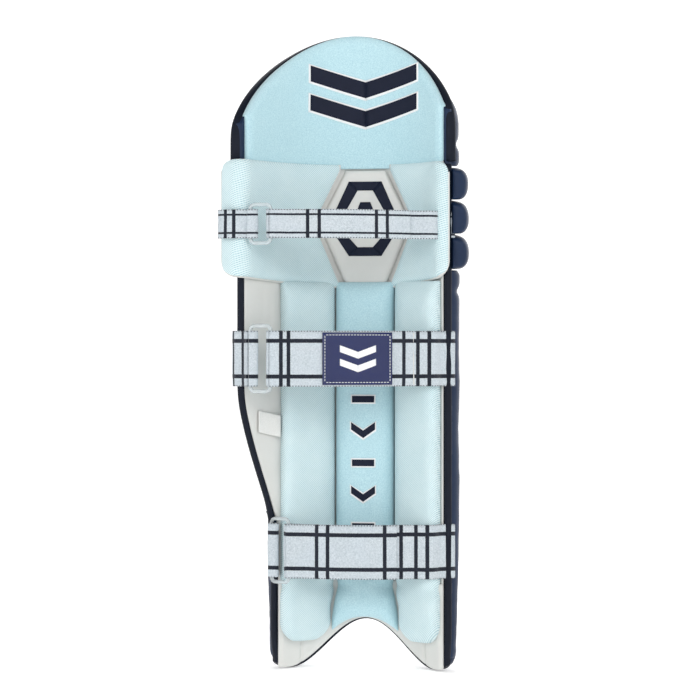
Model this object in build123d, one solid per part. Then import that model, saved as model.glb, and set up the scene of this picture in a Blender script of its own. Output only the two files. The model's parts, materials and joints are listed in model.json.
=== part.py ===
from build123d import *

from dataclasses import dataclass
from math import asin, cos, degrees, hypot, radians, sin, sqrt
import os

# Cricket leg pad for the right-hand side of a pair, standing upright on its toes.
#
# Millimetres, +Z up. The front face looks along -Y and the leg sits on the +Y side. The shell is
# a part of an upright cylinder whose axis is the leg's axis, so most pieces are plan sectors of
# that cylinder between two radii and two angles. A plan angle is measured from straight ahead
# (-Y) and grows towards +X, the side that carries the outer wing. Everything is built about the
# leg's axis and moved at the end, so that the origin is the middle of the underside.

# ---- Driving sizes ---------------------------------------------------------------------
TOTAL_HEIGHT = 680.0
KNEE_BOTTOM = 420.0
KNEE_TOP = 543.0
INSTEP_TOP = 127.0
ARCH_HEIGHT = 50.0
ARCH_HALF_WIDTH = 66.0

SHELL_RADIUS = 115.0
CORE_THICKNESS = 8.0
LINING_THICKNESS = 2.0
EDGE_ANGLE = 56.0
WING_ANGLE = 86.0
WING_THICKNESS = 14.0
WING_FULL_Z = 290.0
WING_TIP_Z = 150.0

CHANNEL_COUNT = 7
CHANNEL_PROUD = 20.0
CHANNEL_GAP_ANGLE = 0.4
CANE_RADIUS = 5.0
CANE_DEPTH = 8.0
CANE_CLEARANCE = 0.3
CANE_END = 10.0

ROLL_PROUD = 26.0
ROLL_GAP = 0.3
ROLL_SEAMS = (458.0, 501.0)
ROLL_CORE_COVER = 2.0
TUFT_TO_CORE = 1.0
ROLL_CORE_END_ANGLE = 4.0
ROLL_CORE_SHORT_ANGLE = 0.3
TUFT_COUNT = 5
TUFT_RADIUS = 4.0
TUFT_SPREAD = 15.0
TUFT_DEPTH = 7.0
TUFT_RECESS = 2.0
TUFT_BORE_PAST_CROWN = 5.0

INSTEP_THICKNESS = 12.0
BADGE_SIZE = (65.0, 46.0)
BADGE_PEAK = 3.0
BADGE_THICKNESS = 1.5
BADGE_ABOVE_ARCH = 5.0
BADGE_EMBLEM_SIZE = (30.0, 26.0)
EMBLEM_THICKNESS = 0.8
CHEVRON_ARM, CHEVRON_STEP, CHEVRON_RISE = 0.3, 0.5, 0.2

BOLSTER_THICKNESS = 26.0
BOLSTER_HALF_ANGLE = 18.0
BOLSTER_GAP_ANGLE = 0.8
BOLSTER_EDGE_ANGLE = 46.0
BOLSTER_TOP = 400.0
BOLSTER_BOTTOMS = {"outer": 30.0, "centre": 56.0, "inner": 30.0}
BOLSTER_ROUND = 9.0
COVER_THICKNESS = 2.0
COVER_SIDE_FACTOR = 1.3
TOE_LINING_TOP = 92.0

FLAP_THICKNESS = 8.0
FLAP_CLEARANCE = 0.4
FLAP_OUTER_ANGLE = 74.0
FLAP_INNER_ANGLE = 45.0
FLAP_BOTTOM = 408.0
CUP_THICKNESS = 6.0
CUP_HALF_WIDTHS = (20.0, 47.0, 20.0)
CUP_HEIGHTS = (533.0, 476.0, 411.0)
CUP_GAP = 8.5
HEXAGON_RADII = (34.0, 30.0, 12.0)

TOP_HAT_GAP = 0.5
TOP_HAT_LEAN = 14.0
DOME_CENTRE_X = 10.0
DOME_EDGE_INSET = 3.0
LINER_THICKNESS = 4.0
LINER_MARGIN = 7.0
TOP_EMBLEM_SIZE = (112.0, 58.0)
TOP_EMBLEM_MIDDLE = 606.0

BINDING = 2.5
BINDING_LAP = 3.0
TOE_FLAT_END = 90.0
TOE_BEVEL = (16.0, 22.0)

WEB = 2.0
WEB_GAP = 0.4
RING_WIRE = 2.0
RING_CLEARANCE = 0.3
RING_NIP = 0.1
RING_SPAN = 22.0
RING_ROOM = 5.0
RING_CORNER = 5.0
ANCHOR_LAP = 7.0
TAIL_RISE = 6.0
TAIL_RAMP = 22.0
STITCH_TAB = (-56.0, -47.5)
STRAP_TRIM = (-90.0, -30.0)
TAIL_LAP_ANGLE = 0.3


@dataclass
class Strap:
    """One leg strap: its middle height, width, bow radius, edge angle and tail length."""

    height: float
    width: float
    bow: float
    edge: float
    tail: float


STRAPS = {
    "knee": Strap(471.0, 30.0, 220.0, WING_ANGLE, 150.0),
    "calf": Strap(331.0, 58.0, 220.0, WING_ANGLE, 128.0),
    "ankle": Strap(128.0, 57.0, 170.0, EDGE_ANGLE, 118.0),
}
CALF_BADGE_LENGTH = 74.0
CALF_BADGE_HEIGHT = 54.0
CALF_BADGE_THICKNESS = 1.6
STRAP_TAB_LENGTH = 16.0
STRAP_TAB_FROM_EDGE = 18.0
STRAP_TAB_INSET = 2.0

LABEL_ANGLES = (58.0, 75.0)
LABEL_HEIGHTS = (250.0, 274.0)
LABEL_THICKNESS = 0.8

# ---- Sizes that follow -----------------------------------------------------------------
CORE_INNER = SHELL_RADIUS - CORE_THICKNESS
LINING_INNER = CORE_INNER - LINING_THICKNESS
WING_OUTER = CORE_INNER + WING_THICKNESS
CHANNEL_STEP = 2 * EDGE_ANGLE / CHANNEL_COUNT
DOME_HALF_WIDTH = SHELL_RADIUS - DOME_EDGE_INSET
DOME_HEIGHT = TOTAL_HEIGHT - BINDING - KNEE_TOP
TOP_HAT_BOTTOM = KNEE_TOP + TOP_HAT_GAP
ARCH_RADIUS = (ARCH_HALF_WIDTH**2 + ARCH_HEIGHT**2) / (2 * ARCH_HEIGHT)
ROLL_CORE_RADIUS = (ROLL_PROUD - TUFT_DEPTH - ROLL_CORE_COVER - TUFT_TO_CORE) / 2
ROLL_CORE_DEPTH = ROLL_CORE_RADIUS + ROLL_CORE_COVER
ROLL_LEVELS = (KNEE_BOTTOM, *ROLL_SEAMS, KNEE_TOP)
HINGE_Y = -SHELL_RADIUS * cos(radians(EDGE_ANGLE))
WING_EDGE_Y = -SHELL_RADIUS * cos(radians(WING_ANGLE))
FAR = 400.0
NEAR = 1.0
PAST = 1.0
BADGE_SPAN, CUP_SPAN, EMBLEM_SPAN = 30.0, 50.0, 60.0
WING_ROOT, WING_ROOT_DROP, WING_STOCK_DROP = 40.0, 80.0, 60.0


# ---- Plain shapes ----------------------------------------------------------------------
def at(radius, angle):
    """Plan point at a radius and a plan angle about the leg's axis."""
    return radius * sin(radians(angle)), -radius * cos(radians(angle))


def face_of(*edges):
    return make_face(Wire(list(edges)))


def sector(inner, outer, start, end):
    """Plan face between two radii and two plan angles."""
    middle = (start + end) / 2
    return face_of(
        Edge.make_three_point_arc(at(outer, start), at(outer, middle), at(outer, end)),
        Edge.make_line(at(outer, end), at(inner, end)),
        Edge.make_three_point_arc(at(inner, end), at(inner, middle), at(inner, start)),
        Edge.make_line(at(inner, start), at(outer, start)),
    )


def upright(face, bottom, top):
    return Pos(0, 0, bottom) * extrude(face, top - bottom, dir=(0, 0, 1))


def wall(inner, outer, start, end, bottom, top):
    return upright(sector(inner, outer, start, end), bottom, top)


def across_y(points):
    """Solid that runs through the whole pad along Y, from an outline of (x, z) points."""
    outline = Polyline(*[(x, 0, z) for x, z in points], close=True)
    return extrude(make_face(outline), FAR, dir=(0, 1, 0), both=True)


def across_x(points):
    """Solid on the outer wing's side that runs along X, from an outline of (y, z) points."""
    outline = Polyline(*[(0, y, z) for y, z in points], close=True)
    return extrude(make_face(outline), FAR, dir=(1, 0, 0))


def rod_y(radius, x, z):
    return Pos(x, 0, z) * Rot(90, 0, 0) * Cylinder(radius, 2 * FAR)


def mirrored(points):
    return [(-x, z) for x, z in points]


# ---- Outlines of the toes, the wing and the top hat ------------------------------------
def toe_cut(arch_radius):
    """What is missing below the pad: the instep arch and the bevels outside the toes."""
    run, rise = TOE_BEVEL
    bevel = [
        (TOE_FLAT_END, -PAST),
        (TOE_FLAT_END, 0),
        (TOE_FLAT_END + run, rise),
        (TOE_FLAT_END + 3 * run, rise),
        (TOE_FLAT_END + 3 * run, -PAST),
    ]
    arch = rod_y(arch_radius, 0, ARCH_HEIGHT - ARCH_RADIUS)
    return arch + across_y(bevel) + across_y(mirrored(bevel))


def wing_outline(beyond):
    """Side outline of the outer wing, let out past its free edge by a binding's width."""
    edge = WING_EDGE_Y + beyond
    return across_x(
        [
            (HINGE_Y - WING_ROOT, WING_TIP_Z - beyond - WING_ROOT_DROP),
            (HINGE_Y + beyond, WING_TIP_Z - beyond),
            (edge, WING_FULL_Z - beyond),
            (edge, KNEE_TOP),
            (HINGE_Y - WING_ROOT, KNEE_TOP),
        ]
    )


def dome(beyond):
    """Rounded outline of the top hat, let out by a binding's width or taken in by a margin."""
    half_width, height = DOME_HALF_WIDTH + beyond, DOME_HEIGHT + beyond
    low, high = (DOME_CENTRE_X - half_width, KNEE_TOP), (DOME_CENTRE_X + half_width, KNEE_TOP)
    plane = Plane(origin=(DOME_CENTRE_X, 0, KNEE_TOP), x_dir=(1, 0, 0), z_dir=(0, -1, 0))
    curve = Edge.make_ellipse(half_width, height, plane, 0, 180)
    base = Edge.make_line((low[0], 0, low[1]), (high[0], 0, high[1]))
    return extrude(make_face(Wire([curve, base])), FAR, dir=(0, 1, 0), both=True)


def dome_height(x):
    share = (x - DOME_CENTRE_X) / DOME_HALF_WIDTH
    return KNEE_TOP + DOME_HEIGHT * sqrt(max(0.0, 1 - share**2))


def lean_relief():
    """Room under the top hat's rear edges, so that it can lean back without pressing down."""
    rise = FAR * sin(radians(TOP_HAT_LEAN)) / cos(radians(TOP_HAT_LEAN))
    outline = Polyline(
        (0, HINGE_Y, KNEE_TOP - PAST),
        (0, HINGE_Y, TOP_HAT_BOTTOM),
        (0, HINGE_Y + FAR, TOP_HAT_BOTTOM + rise),
        (0, HINGE_Y + FAR, KNEE_TOP - PAST),
        close=True,
    )
    return extrude(make_face(outline), FAR, dir=(1, 0, 0), both=True)


# ---- Cane channels ---------------------------------------------------------------------
def channel_angle(number):
    return (number - (CHANNEL_COUNT - 1) / 2) * CHANNEL_STEP


def channel_face(number):
    """D-shaped plan section of one stuffed channel, proud of the shell."""
    middle = channel_angle(number)
    half = CHANNEL_STEP / 2 - CHANNEL_GAP_ANGLE
    start, end = at(SHELL_RADIUS, middle - half), at(SHELL_RADIUS, middle + half)
    crown = at(SHELL_RADIUS + CHANNEL_PROUD, middle)
    return face_of(
        Edge.make_three_point_arc(start, crown, end),
        Edge.make_three_point_arc(end, at(SHELL_RADIUS, middle), start),
    )


def cane(number, radius, bottom, top):
    x, y = at(SHELL_RADIUS + CANE_DEPTH, channel_angle(number))
    return Pos(x, y, (bottom + top) / 2) * Cylinder(radius, top - bottom)


def is_central(number):
    return abs(number - (CHANNEL_COUNT - 1) / 2) < 1.5


def shin_channel(number):
    bottom = INSTEP_TOP if is_central(number) else 0.0
    body = upright(channel_face(number), bottom, KNEE_BOTTOM)
    low, high = shin_cane_span(number)
    bore = cane(number, CANE_RADIUS + CANE_CLEARANCE, low - CANE_CLEARANCE, high + CANE_CLEARANCE)
    return body - toe_cut(ARCH_RADIUS) - bore


def shin_cane_span(number):
    bottom = INSTEP_TOP if is_central(number) else ARCH_HEIGHT
    return bottom + CANE_END, KNEE_BOTTOM - CANE_END


def top_channel(number):
    body = upright(channel_face(number), TOP_HAT_BOTTOM, TOTAL_HEIGHT) & dome(0)
    low, high = top_cane_span(number)
    bore = cane(number, CANE_RADIUS + CANE_CLEARANCE, low - CANE_CLEARANCE, high + CANE_CLEARANCE)
    return body - lean_relief() - bore


def top_cane_span(number):
    outside = abs(at(SHELL_RADIUS + CANE_DEPTH, channel_angle(number))[0] - DOME_CENTRE_X)
    edge = DOME_CENTRE_X + outside + CANE_RADIUS
    return TOP_HAT_BOTTOM + CANE_END, dome_height(edge) - CANE_END


# ---- Knee rolls ------------------------------------------------------------------------
def roll(bottom, top):
    """One stuffed roll across the knee, with a D-shaped section and a bore for its core."""
    inner, outer = SHELL_RADIUS, SHELL_RADIUS + ROLL_PROUD
    middle = (bottom + top) / 2
    low, high = bottom + ROLL_GAP, top - ROLL_GAP
    shoulder = outer - (high - low) / 2
    section = face_of(
        Edge.make_line((inner, 0, low), (shoulder, 0, low)),
        Edge.make_three_point_arc((shoulder, 0, low), (outer, 0, middle), (shoulder, 0, high)),
        Edge.make_line((shoulder, 0, high), (inner, 0, high)),
        Edge.make_line((inner, 0, high), (inner, 0, low)),
    )
    return turned(section) - roll_core(middle, ROLL_CORE_RADIUS + CANE_CLEARANCE, 0)


def turned(section):
    """A section in the +X half plane, swept about the leg's axis from edge to edge."""
    sweep_angle = EDGE_ANGLE + WING_ANGLE
    return revolve(Rot(0, 0, -90 - EDGE_ANGLE) * section, Axis.Z, sweep_angle)


def roll_core(height, radius, short):
    plane = Plane(origin=(SHELL_RADIUS + ROLL_CORE_DEPTH, 0, height), z_dir=(0, -1, 0))
    whole = turned(plane * Circle(radius))
    end = ROLL_CORE_END_ANGLE + short
    keep = wall(CORE_INNER, FAR, end - EDGE_ANGLE, WING_ANGLE - end, 0, TOTAL_HEIGHT)
    return whole & keep


def tuft_angles():
    return [(n - (TUFT_COUNT - 1) / 2) * TUFT_SPREAD for n in range(TUFT_COUNT)]


def tuft(angle, radius, deep, recess):
    outer = SHELL_RADIUS + ROLL_PROUD - recess
    length = deep - recess
    x, y = at(outer - length / 2, angle)
    return Pos(x, y, sum(ROLL_SEAMS) / 2) * Rot(0, 0, angle) * Rot(90, 0, 0) * Cylinder(radius, length)


def middle_roll():
    shape = roll(*ROLL_SEAMS)
    for angle in tuft_angles():
        shape -= tuft(
            angle, TUFT_RADIUS + CANE_CLEARANCE, TUFT_DEPTH + CANE_CLEARANCE, -TUFT_BORE_PAST_CROWN
        )
    return shape


# ---- Shell, wing, panels and binding ---------------------------------------------------
def shin_core():
    return wall(CORE_INNER, SHELL_RADIUS, -EDGE_ANGLE, EDGE_ANGLE, 0, KNEE_BOTTOM) - toe_cut(ARCH_RADIUS)


def outer_wing():
    low = WING_TIP_Z - WING_STOCK_DROP
    panel = wall(CORE_INNER, WING_OUTER, EDGE_ANGLE, WING_ANGLE, low, KNEE_BOTTOM)
    return panel & wing_outline(0)


def instep_panel():
    half = CHANNEL_STEP * 1.5
    panel = wall(SHELL_RADIUS, SHELL_RADIUS + INSTEP_THICKNESS, -half, half, 0, INSTEP_TOP)
    return panel - toe_cut(ARCH_RADIUS)


def pad_binding():
    """Bound edges of the shin and the knee: inner side, outer wing and instep arch."""
    inner, outer = LINING_INNER, SHELL_RADIUS + BINDING_LAP
    beyond = degrees(BINDING / SHELL_RADIUS)
    corner = TOE_BEVEL[1] + BINDING
    side = wall(inner, outer, -EDGE_ANGLE - beyond, -EDGE_ANGLE, corner, KNEE_TOP)
    toe_side = wall(inner, outer, EDGE_ANGLE, EDGE_ANGLE + beyond, corner, WING_TIP_Z - 2 * BINDING)
    low = WING_TIP_Z - WING_STOCK_DROP
    edge = wall(inner, WING_OUTER, EDGE_ANGLE, WING_ANGLE + 2 * beyond, low, KNEE_TOP)
    edge = (edge & wing_outline(BINDING)) - wing_outline(0)
    edge -= wall(NEAR, FAR, EDGE_ANGLE, EDGE_ANGLE + beyond, 0, WING_TIP_Z - 2 * BINDING)
    edge -= wall(NEAR, FAR, EDGE_ANGLE, WING_ANGLE, KNEE_BOTTOM, KNEE_TOP)
    arch = wall(inner, outer, -EDGE_ANGLE, EDGE_ANGLE, 0, ARCH_HEIGHT)
    arch = (arch & rod_y(ARCH_RADIUS, 0, ARCH_HEIGHT - ARCH_RADIUS)) - toe_cut(ARCH_RADIUS - BINDING)
    return [side, toe_side, edge, arch]


def pad_lining():
    whole = wall(LINING_INNER, CORE_INNER, -EDGE_ANGLE, WING_ANGLE, TOE_LINING_TOP, KNEE_TOP)
    spare = wall(NEAR, FAR, EDGE_ANGLE, 90, 0, KNEE_TOP) - wing_outline(0)
    return whole - spare


def toe_lining():
    panel = wall(LINING_INNER, CORE_INNER, -EDGE_ANGLE, EDGE_ANGLE, 0, TOE_LINING_TOP)
    return panel - toe_cut(ARCH_RADIUS)


def front_badge():
    """Plate sewn to the instep panel, with a slightly peaked top and bottom."""
    width, height = BADGE_SIZE
    low = ARCH_HEIGHT + BADGE_ABOVE_ARCH
    half = width / 2
    outline = [
        (-half, low + BADGE_PEAK),
        (0, low),
        (half, low + BADGE_PEAK),
        (half, low + height),
        (0, low + height + BADGE_PEAK),
        (-half, low + height),
    ]
    inner = SHELL_RADIUS + INSTEP_THICKNESS
    skin = wall(inner, inner + BADGE_THICKNESS, -BADGE_SPAN, BADGE_SPAN, 0, INSTEP_TOP)
    return skin & across_y(outline)


def chevrons(width, height, middle, centre_x):
    """Plain double chevron used where a mark would be."""
    half, arm, step = width / 2, height * CHEVRON_ARM, height * CHEVRON_STEP
    rise = height * CHEVRON_RISE
    shapes = []
    for low in (middle - height / 2, middle - height / 2 + step):
        outline = [
            (centre_x - half, low + rise),
            (centre_x, low),
            (centre_x + half, low + rise),
            (centre_x + half, low + rise + arm),
            (centre_x, low + arm),
            (centre_x - half, low + rise + arm),
        ]
        shapes.append(across_y(outline))
    return shapes


def front_badge_emblem():
    inner = SHELL_RADIUS + INSTEP_THICKNESS + BADGE_THICKNESS
    skin = wall(inner, inner + EMBLEM_THICKNESS, -BADGE_SPAN, BADGE_SPAN, 0, INSTEP_TOP)
    middle = ARCH_HEIGHT + BADGE_ABOVE_ARCH + (BADGE_SIZE[1] + BADGE_PEAK) / 2
    return [skin & part for part in chevrons(*BADGE_EMBLEM_SIZE, middle, 0)]


# ---- Bolsters, knee cup and knee flaps -------------------------------------------------
def bolster_span(name):
    start, end = BOLSTER_HALF_ANGLE + BOLSTER_GAP_ANGLE, BOLSTER_EDGE_ANGLE
    spans = {
        "outer": (start, end),
        "centre": (-BOLSTER_HALF_ANGLE, BOLSTER_HALF_ANGLE),
        "inner": (-end, -start),
    }
    return spans[name]


def bolster_block(name, inset):
    start, end = bolster_span(name)
    outer = LINING_INNER - inset
    inner = LINING_INNER - BOLSTER_THICKNESS + inset
    turn = COVER_SIDE_FACTOR * degrees(inset / LINING_INNER)
    section = sector(inner, outer, start + turn, end - turn)
    rear = [v for v in section.vertices() if hypot(v.X, v.Y) < (inner + outer) / 2]
    section = fillet(rear, BOLSTER_ROUND - inset)
    return upright(section, BOLSTER_BOTTOMS[name] + inset, BOLSTER_TOP - inset)


def bolster_cover(name):
    return bolster_block(name, 0) - bolster_block(name, COVER_THICKNESS)


def cup_outline(gap, extra):
    """Six-sided outline of the knee cup, let out sideways by a gap."""
    (top, middle, bottom), heights = CUP_HALF_WIDTHS, CUP_HEIGHTS
    right = [
        (top + gap, heights[0] + extra),
        (middle + gap, heights[1]),
        (bottom + gap, heights[2] - extra),
    ]
    return right + mirrored(right[::-1])


def knee_cup():
    skin = wall(LINING_INNER - CUP_THICKNESS, LINING_INNER, -CUP_SPAN, CUP_SPAN, 0, KNEE_TOP)
    return skin & across_y(cup_outline(0, 0))


def knee_cup_emblem():
    """Six-sided ring and a small middle shape on the knee cup."""
    outer = LINING_INNER - CUP_THICKNESS
    skin = wall(outer - EMBLEM_THICKNESS, outer, -CUP_SPAN, CUP_SPAN, 0, KNEE_TOP)
    centre = CUP_HEIGHTS[1]

    def hexagon(radius):
        return [
            (radius * sin(radians(60 * n)), centre + radius * cos(radians(60 * n)))
            for n in range(6)
        ]

    outside, inside, middle = (across_y(hexagon(radius)) for radius in HEXAGON_RADII)
    return [skin & (outside - inside), skin & middle]


def knee_flap(side):
    """Padded flap beside the knee cup, hinged at its outer end; side is 1 or -1."""
    reach = FLAP_OUTER_ANGLE if side > 0 else FLAP_INNER_ANGLE
    outer = LINING_INNER - FLAP_CLEARANCE
    inner = outer - FLAP_THICKNESS
    top = KNEE_TOP - BINDING
    start, end = sorted((0, side * reach))
    panel = wall(inner, outer, start, end, FLAP_BOTTOM, top)
    gap_high = cup_outline(CUP_GAP, top - CUP_HEIGHTS[0] + PAST)
    panel -= across_y(gap_high)
    x, y = at((inner + outer) / 2, side * reach)
    rounded = Pos(x, y, (FLAP_BOTTOM + top) / 2) * Cylinder(FLAP_THICKNESS / 2, top - FLAP_BOTTOM)
    return panel + rounded


# ---- Top hat ---------------------------------------------------------------------------
def top_sheet(inner, outer, start, end, outline):
    return (wall(inner, outer, start, end, TOP_HAT_BOTTOM, TOTAL_HEIGHT) & outline) - lean_relief()


def top_hat_binding():
    beyond = degrees(BINDING / SHELL_RADIUS)
    inner, outer = CORE_INNER - LINER_THICKNESS, SHELL_RADIUS + BINDING_LAP
    let_out = (-EDGE_ANGLE - beyond, WING_ANGLE + beyond)
    whole = top_sheet(inner, outer, *let_out, dome(BINDING))
    return whole - (wall(NEAR, FAR, -EDGE_ANGLE, WING_ANGLE, 0, TOTAL_HEIGHT) & dome(0))


def top_hat_emblem():
    """Plain double chevron sewn on the liner."""
    width, height = TOP_EMBLEM_SIZE
    outer = CORE_INNER - LINER_THICKNESS
    skin = wall(outer - EMBLEM_THICKNESS, outer, -EMBLEM_SPAN, EMBLEM_SPAN, TOP_HAT_BOTTOM, TOTAL_HEIGHT)
    return [skin & part for part in chevrons(width, height, TOP_EMBLEM_MIDDLE, 0)]


# ---- Straps ----------------------------------------------------------------------------
class StrapLine:
    """Plan line of a strap: an arc that bows back from the inner edge to the ring."""

    def __init__(self, strap):
        self.strap = strap
        turn = strap.edge - WING_ANGLE
        loop_x = LINING_INNER + RING_WIRE + RING_NIP
        self.anchor = (Rot(0, 0, turn) * Pos(loop_x, BINDING, 0)).position
        start = Vector(*at(LINING_INNER - 1, STITCH_TAB[0] + 1), 0)
        chord = self.anchor - start
        depth = sqrt(strap.bow**2 - (chord.length / 2) ** 2)
        rear = Vector(-chord.Y, chord.X, 0).normalized()
        self.centre = (start + self.anchor) * 0.5 - rear * depth
        self.first = self.angle_of(start)
        self.last = self.angle_of(self.anchor)
        self.bar = self.last - degrees(RING_SPAN / strap.bow)

    def angle_of(self, point):
        return degrees(asin((point - self.centre).X / (point - self.centre).length))

    def point(self, radius, angle):
        return (
            self.centre.X + radius * sin(radians(angle)),
            self.centre.Y + radius * cos(radians(angle)),
        )

    def band(self, inner, outer, start, end):
        middle = (start + end) / 2
        face = face_of(
            Edge.make_three_point_arc(
                self.point(outer, start), self.point(outer, middle), self.point(outer, end)
            ),
            Edge.make_line(self.point(outer, end), self.point(inner, end)),
            Edge.make_three_point_arc(
                self.point(inner, end), self.point(inner, middle), self.point(inner, start)
            ),
            Edge.make_line(self.point(inner, start), self.point(outer, start)),
        )
        return self.tall(face, self.strap.width)

    def tall(self, face, width):
        return upright(face, self.strap.height - width / 2, self.strap.height + width / 2)

    def loop(self, angle):
        """Webbing wrapped once round one bar of the ring."""
        inner = RING_WIRE + RING_CLEARANCE
        ring = Circle(inner + WEB) - Circle(inner)
        return self.tall(Pos(*self.point(self.strap.bow, angle)) * ring, self.strap.width)

    def tail_axis(self):
        return self.point(self.strap.bow + TAIL_RISE, self.bar)


def strap_band(line):
    """Webbing sewn to the inner edge, bowed behind the leg and wrapped round the ring."""
    strap = line.strap
    reach = RING_WIRE + RING_CLEARANCE + RING_NIP
    band = line.band(strap.bow - reach - WEB, strap.bow - reach, line.first, line.bar)
    low, high = strap.height - strap.width / 2, strap.height + strap.width / 2
    band -= wall(LINING_INNER, FAR, *STRAP_TRIM, low - PAST, high + PAST)
    loop = line.loop(line.bar)
    tab = wall(LINING_INNER - WEB, LINING_INNER, *STITCH_TAB, low, high)
    return band + tab + loop


def strap_tail(line):
    """Free end of the webbing, which folds back over the ring and lies on the strap."""
    strap = line.strap
    drop = RING_WIRE + RING_CLEARANCE + RING_NIP - WEB_GAP
    low_radius = strap.bow - drop
    ramp_end = line.bar - degrees(TAIL_RAMP / strap.bow)
    tip = line.bar - degrees(strap.tail / strap.bow)
    band = line.band(low_radius, low_radius + WEB, tip, ramp_end)
    root = Vector(*line.tail_axis())
    foot = Vector(*line.point(low_radius + WEB / 2, ramp_end - TAIL_LAP_ANGLE))
    along = (foot - root).normalized()
    side = Vector(-along.Y, along.X) * (WEB / 2)
    corners = [root + side, foot + side, foot - side, root - side]
    ramp = line.tall(make_face(Polyline(*[(c.X, c.Y) for c in corners], close=True)), strap.width)
    end = line.tall(Pos(root.X, root.Y) * Circle(WEB / 2), strap.width)
    return band + ramp + end


def strap_anchor(line):
    """Short webbing lapped on the lining at the outer edge, holding the ring's outer bar."""
    strap = line.strap
    low, high = strap.height - strap.width / 2, strap.height + strap.width / 2
    lap = wall(LINING_INNER - WEB, LINING_INNER, WING_ANGLE - ANCHOR_LAP, 90, low, high)
    middle = LINING_INNER - WEB / 2
    tongue = Pos(middle, BINDING / 2, strap.height) * Box(WEB, BINDING, strap.width)
    placed = Rot(0, 0, strap.edge - WING_ANGLE) * (lap + tongue)
    return placed + line.loop(line.last)


def strap_ring(line):
    """Plastic ring with two upright bars, one in the anchor and one in the strap."""
    strap = line.strap
    outer, inner = Vector(*line.point(strap.bow, line.last)), Vector(*line.point(strap.bow, line.bar))
    middle = (outer + inner) * 0.5
    along = (outer - inner).normalized()
    plane = Plane(
        origin=(middle.X, middle.Y, strap.height),
        x_dir=(along.X, along.Y, 0),
        z_dir=(along.Y, -along.X, 0),
    )
    width, height = (outer - inner).length, strap.width + 2 * RING_ROOM
    path = (plane * RectangleRounded(width, height, RING_CORNER)).wire()
    start = path @ 0
    section = Plane(origin=start, z_dir=path % 0) * Circle(RING_WIRE)
    return sweep(section, path=path)


def calf_badge(line):
    """Patch sewn on the free end of the calf strap."""
    strap = line.strap
    outer = strap.bow - (RING_WIRE + RING_CLEARANCE + RING_NIP - WEB_GAP) + WEB
    tip = line.bar - degrees(strap.tail / strap.bow)
    start, end = tip, tip + degrees(CALF_BADGE_LENGTH / strap.bow)
    band = line.band(outer, outer + CALF_BADGE_THICKNESS, start, end)
    low, high = strap.height - CALF_BADGE_HEIGHT / 2, strap.height + CALF_BADGE_HEIGHT / 2
    return band & (Pos(0, 0, (low + high) / 2) * Box(4 * FAR, 4 * FAR, high - low))


def calf_strap_tab(line):
    """Plain white tab sewn on the calf strap near the inner edge."""
    strap = line.strap
    outer = strap.bow - (RING_WIRE + RING_CLEARANCE + RING_NIP)
    start = line.first + degrees(STRAP_TAB_FROM_EDGE / strap.bow)
    end = start + degrees(STRAP_TAB_LENGTH / strap.bow)
    band = line.band(outer, outer + EMBLEM_THICKNESS, start, end)
    return band & (Pos(0, 0, strap.height) * Box(4 * FAR, 4 * FAR, strap.width - 2 * STRAP_TAB_INSET))


def size_label():
    """Blank label sewn into the wing's lining at one end."""
    outer = LINING_INNER - WEB_GAP
    inner = outer - LABEL_THICKNESS
    return wall(inner, outer, *LABEL_ANGLES, *LABEL_HEIGHTS)


# ---- The whole pad ---------------------------------------------------------------------
def shell_nodes():
    nodes = {
        "shin_core": shin_core(),
        "knee_core": wall(CORE_INNER, SHELL_RADIUS, -EDGE_ANGLE, WING_ANGLE, KNEE_BOTTOM, KNEE_TOP),
        "outer_wing": outer_wing(),
        "instep_panel": instep_panel(),
        "front_badge": front_badge(),
        "front_badge_emblem": front_badge_emblem(),
        "pad_binding": pad_binding(),
        "pad_lining": pad_lining(),
        "toe_lining": toe_lining(),
    }
    numbers = range(CHANNEL_COUNT)
    nodes["cane_rods"] = [cane(n, CANE_RADIUS, *shin_cane_span(n)) for n in numbers]
    for n in numbers:
        nodes[f"shin_channel_{n + 1}"] = shin_channel(n)
    return nodes


def knee_nodes():
    names = ("knee_roll_lower", "knee_roll_middle", "knee_roll_upper")
    spans = list(zip(ROLL_LEVELS[:-1], ROLL_LEVELS[1:]))
    nodes = {name: roll(*span) for name, span in zip(names, spans)}
    nodes["knee_roll_middle"] = middle_roll()
    nodes["knee_roll_cores"] = [
        roll_core(sum(s) / 2, ROLL_CORE_RADIUS, ROLL_CORE_SHORT_ANGLE) for s in spans
    ]
    nodes["knee_roll_tufts"] = [
        tuft(angle, TUFT_RADIUS, TUFT_DEPTH, TUFT_RECESS) for angle in tuft_angles()
    ]
    nodes["knee_cup"] = knee_cup()
    nodes["knee_cup_emblem"] = knee_cup_emblem()
    nodes["knee_flap_outer"] = knee_flap(1)
    nodes["knee_flap_inner"] = knee_flap(-1)
    return nodes


def bolster_nodes():
    nodes = {f"bolster_{name}": bolster_cover(name) for name in BOLSTER_BOTTOMS}
    nodes["bolster_foams"] = [bolster_block(name, COVER_THICKNESS) for name in BOLSTER_BOTTOMS]
    return nodes


def top_hat_nodes():
    numbers = range(CHANNEL_COUNT)
    nodes = {
        "top_hat_core": top_sheet(CORE_INNER, SHELL_RADIUS, -EDGE_ANGLE, WING_ANGLE, dome(0)),
        "top_hat_wing": top_sheet(SHELL_RADIUS, WING_OUTER, EDGE_ANGLE, WING_ANGLE, dome(0)),
        "top_hat_liner": top_sheet(
            CORE_INNER - LINER_THICKNESS, CORE_INNER, -EDGE_ANGLE, WING_ANGLE, dome(-LINER_MARGIN)
        ),
        "top_hat_emblem": top_hat_emblem(),
        "top_hat_binding": top_hat_binding(),
        "top_hat_canes": [cane(n, CANE_RADIUS, *top_cane_span(n)) for n in numbers],
    }
    for n in numbers:
        nodes[f"top_hat_channel_{n + 1}"] = top_channel(n)
    return nodes


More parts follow.
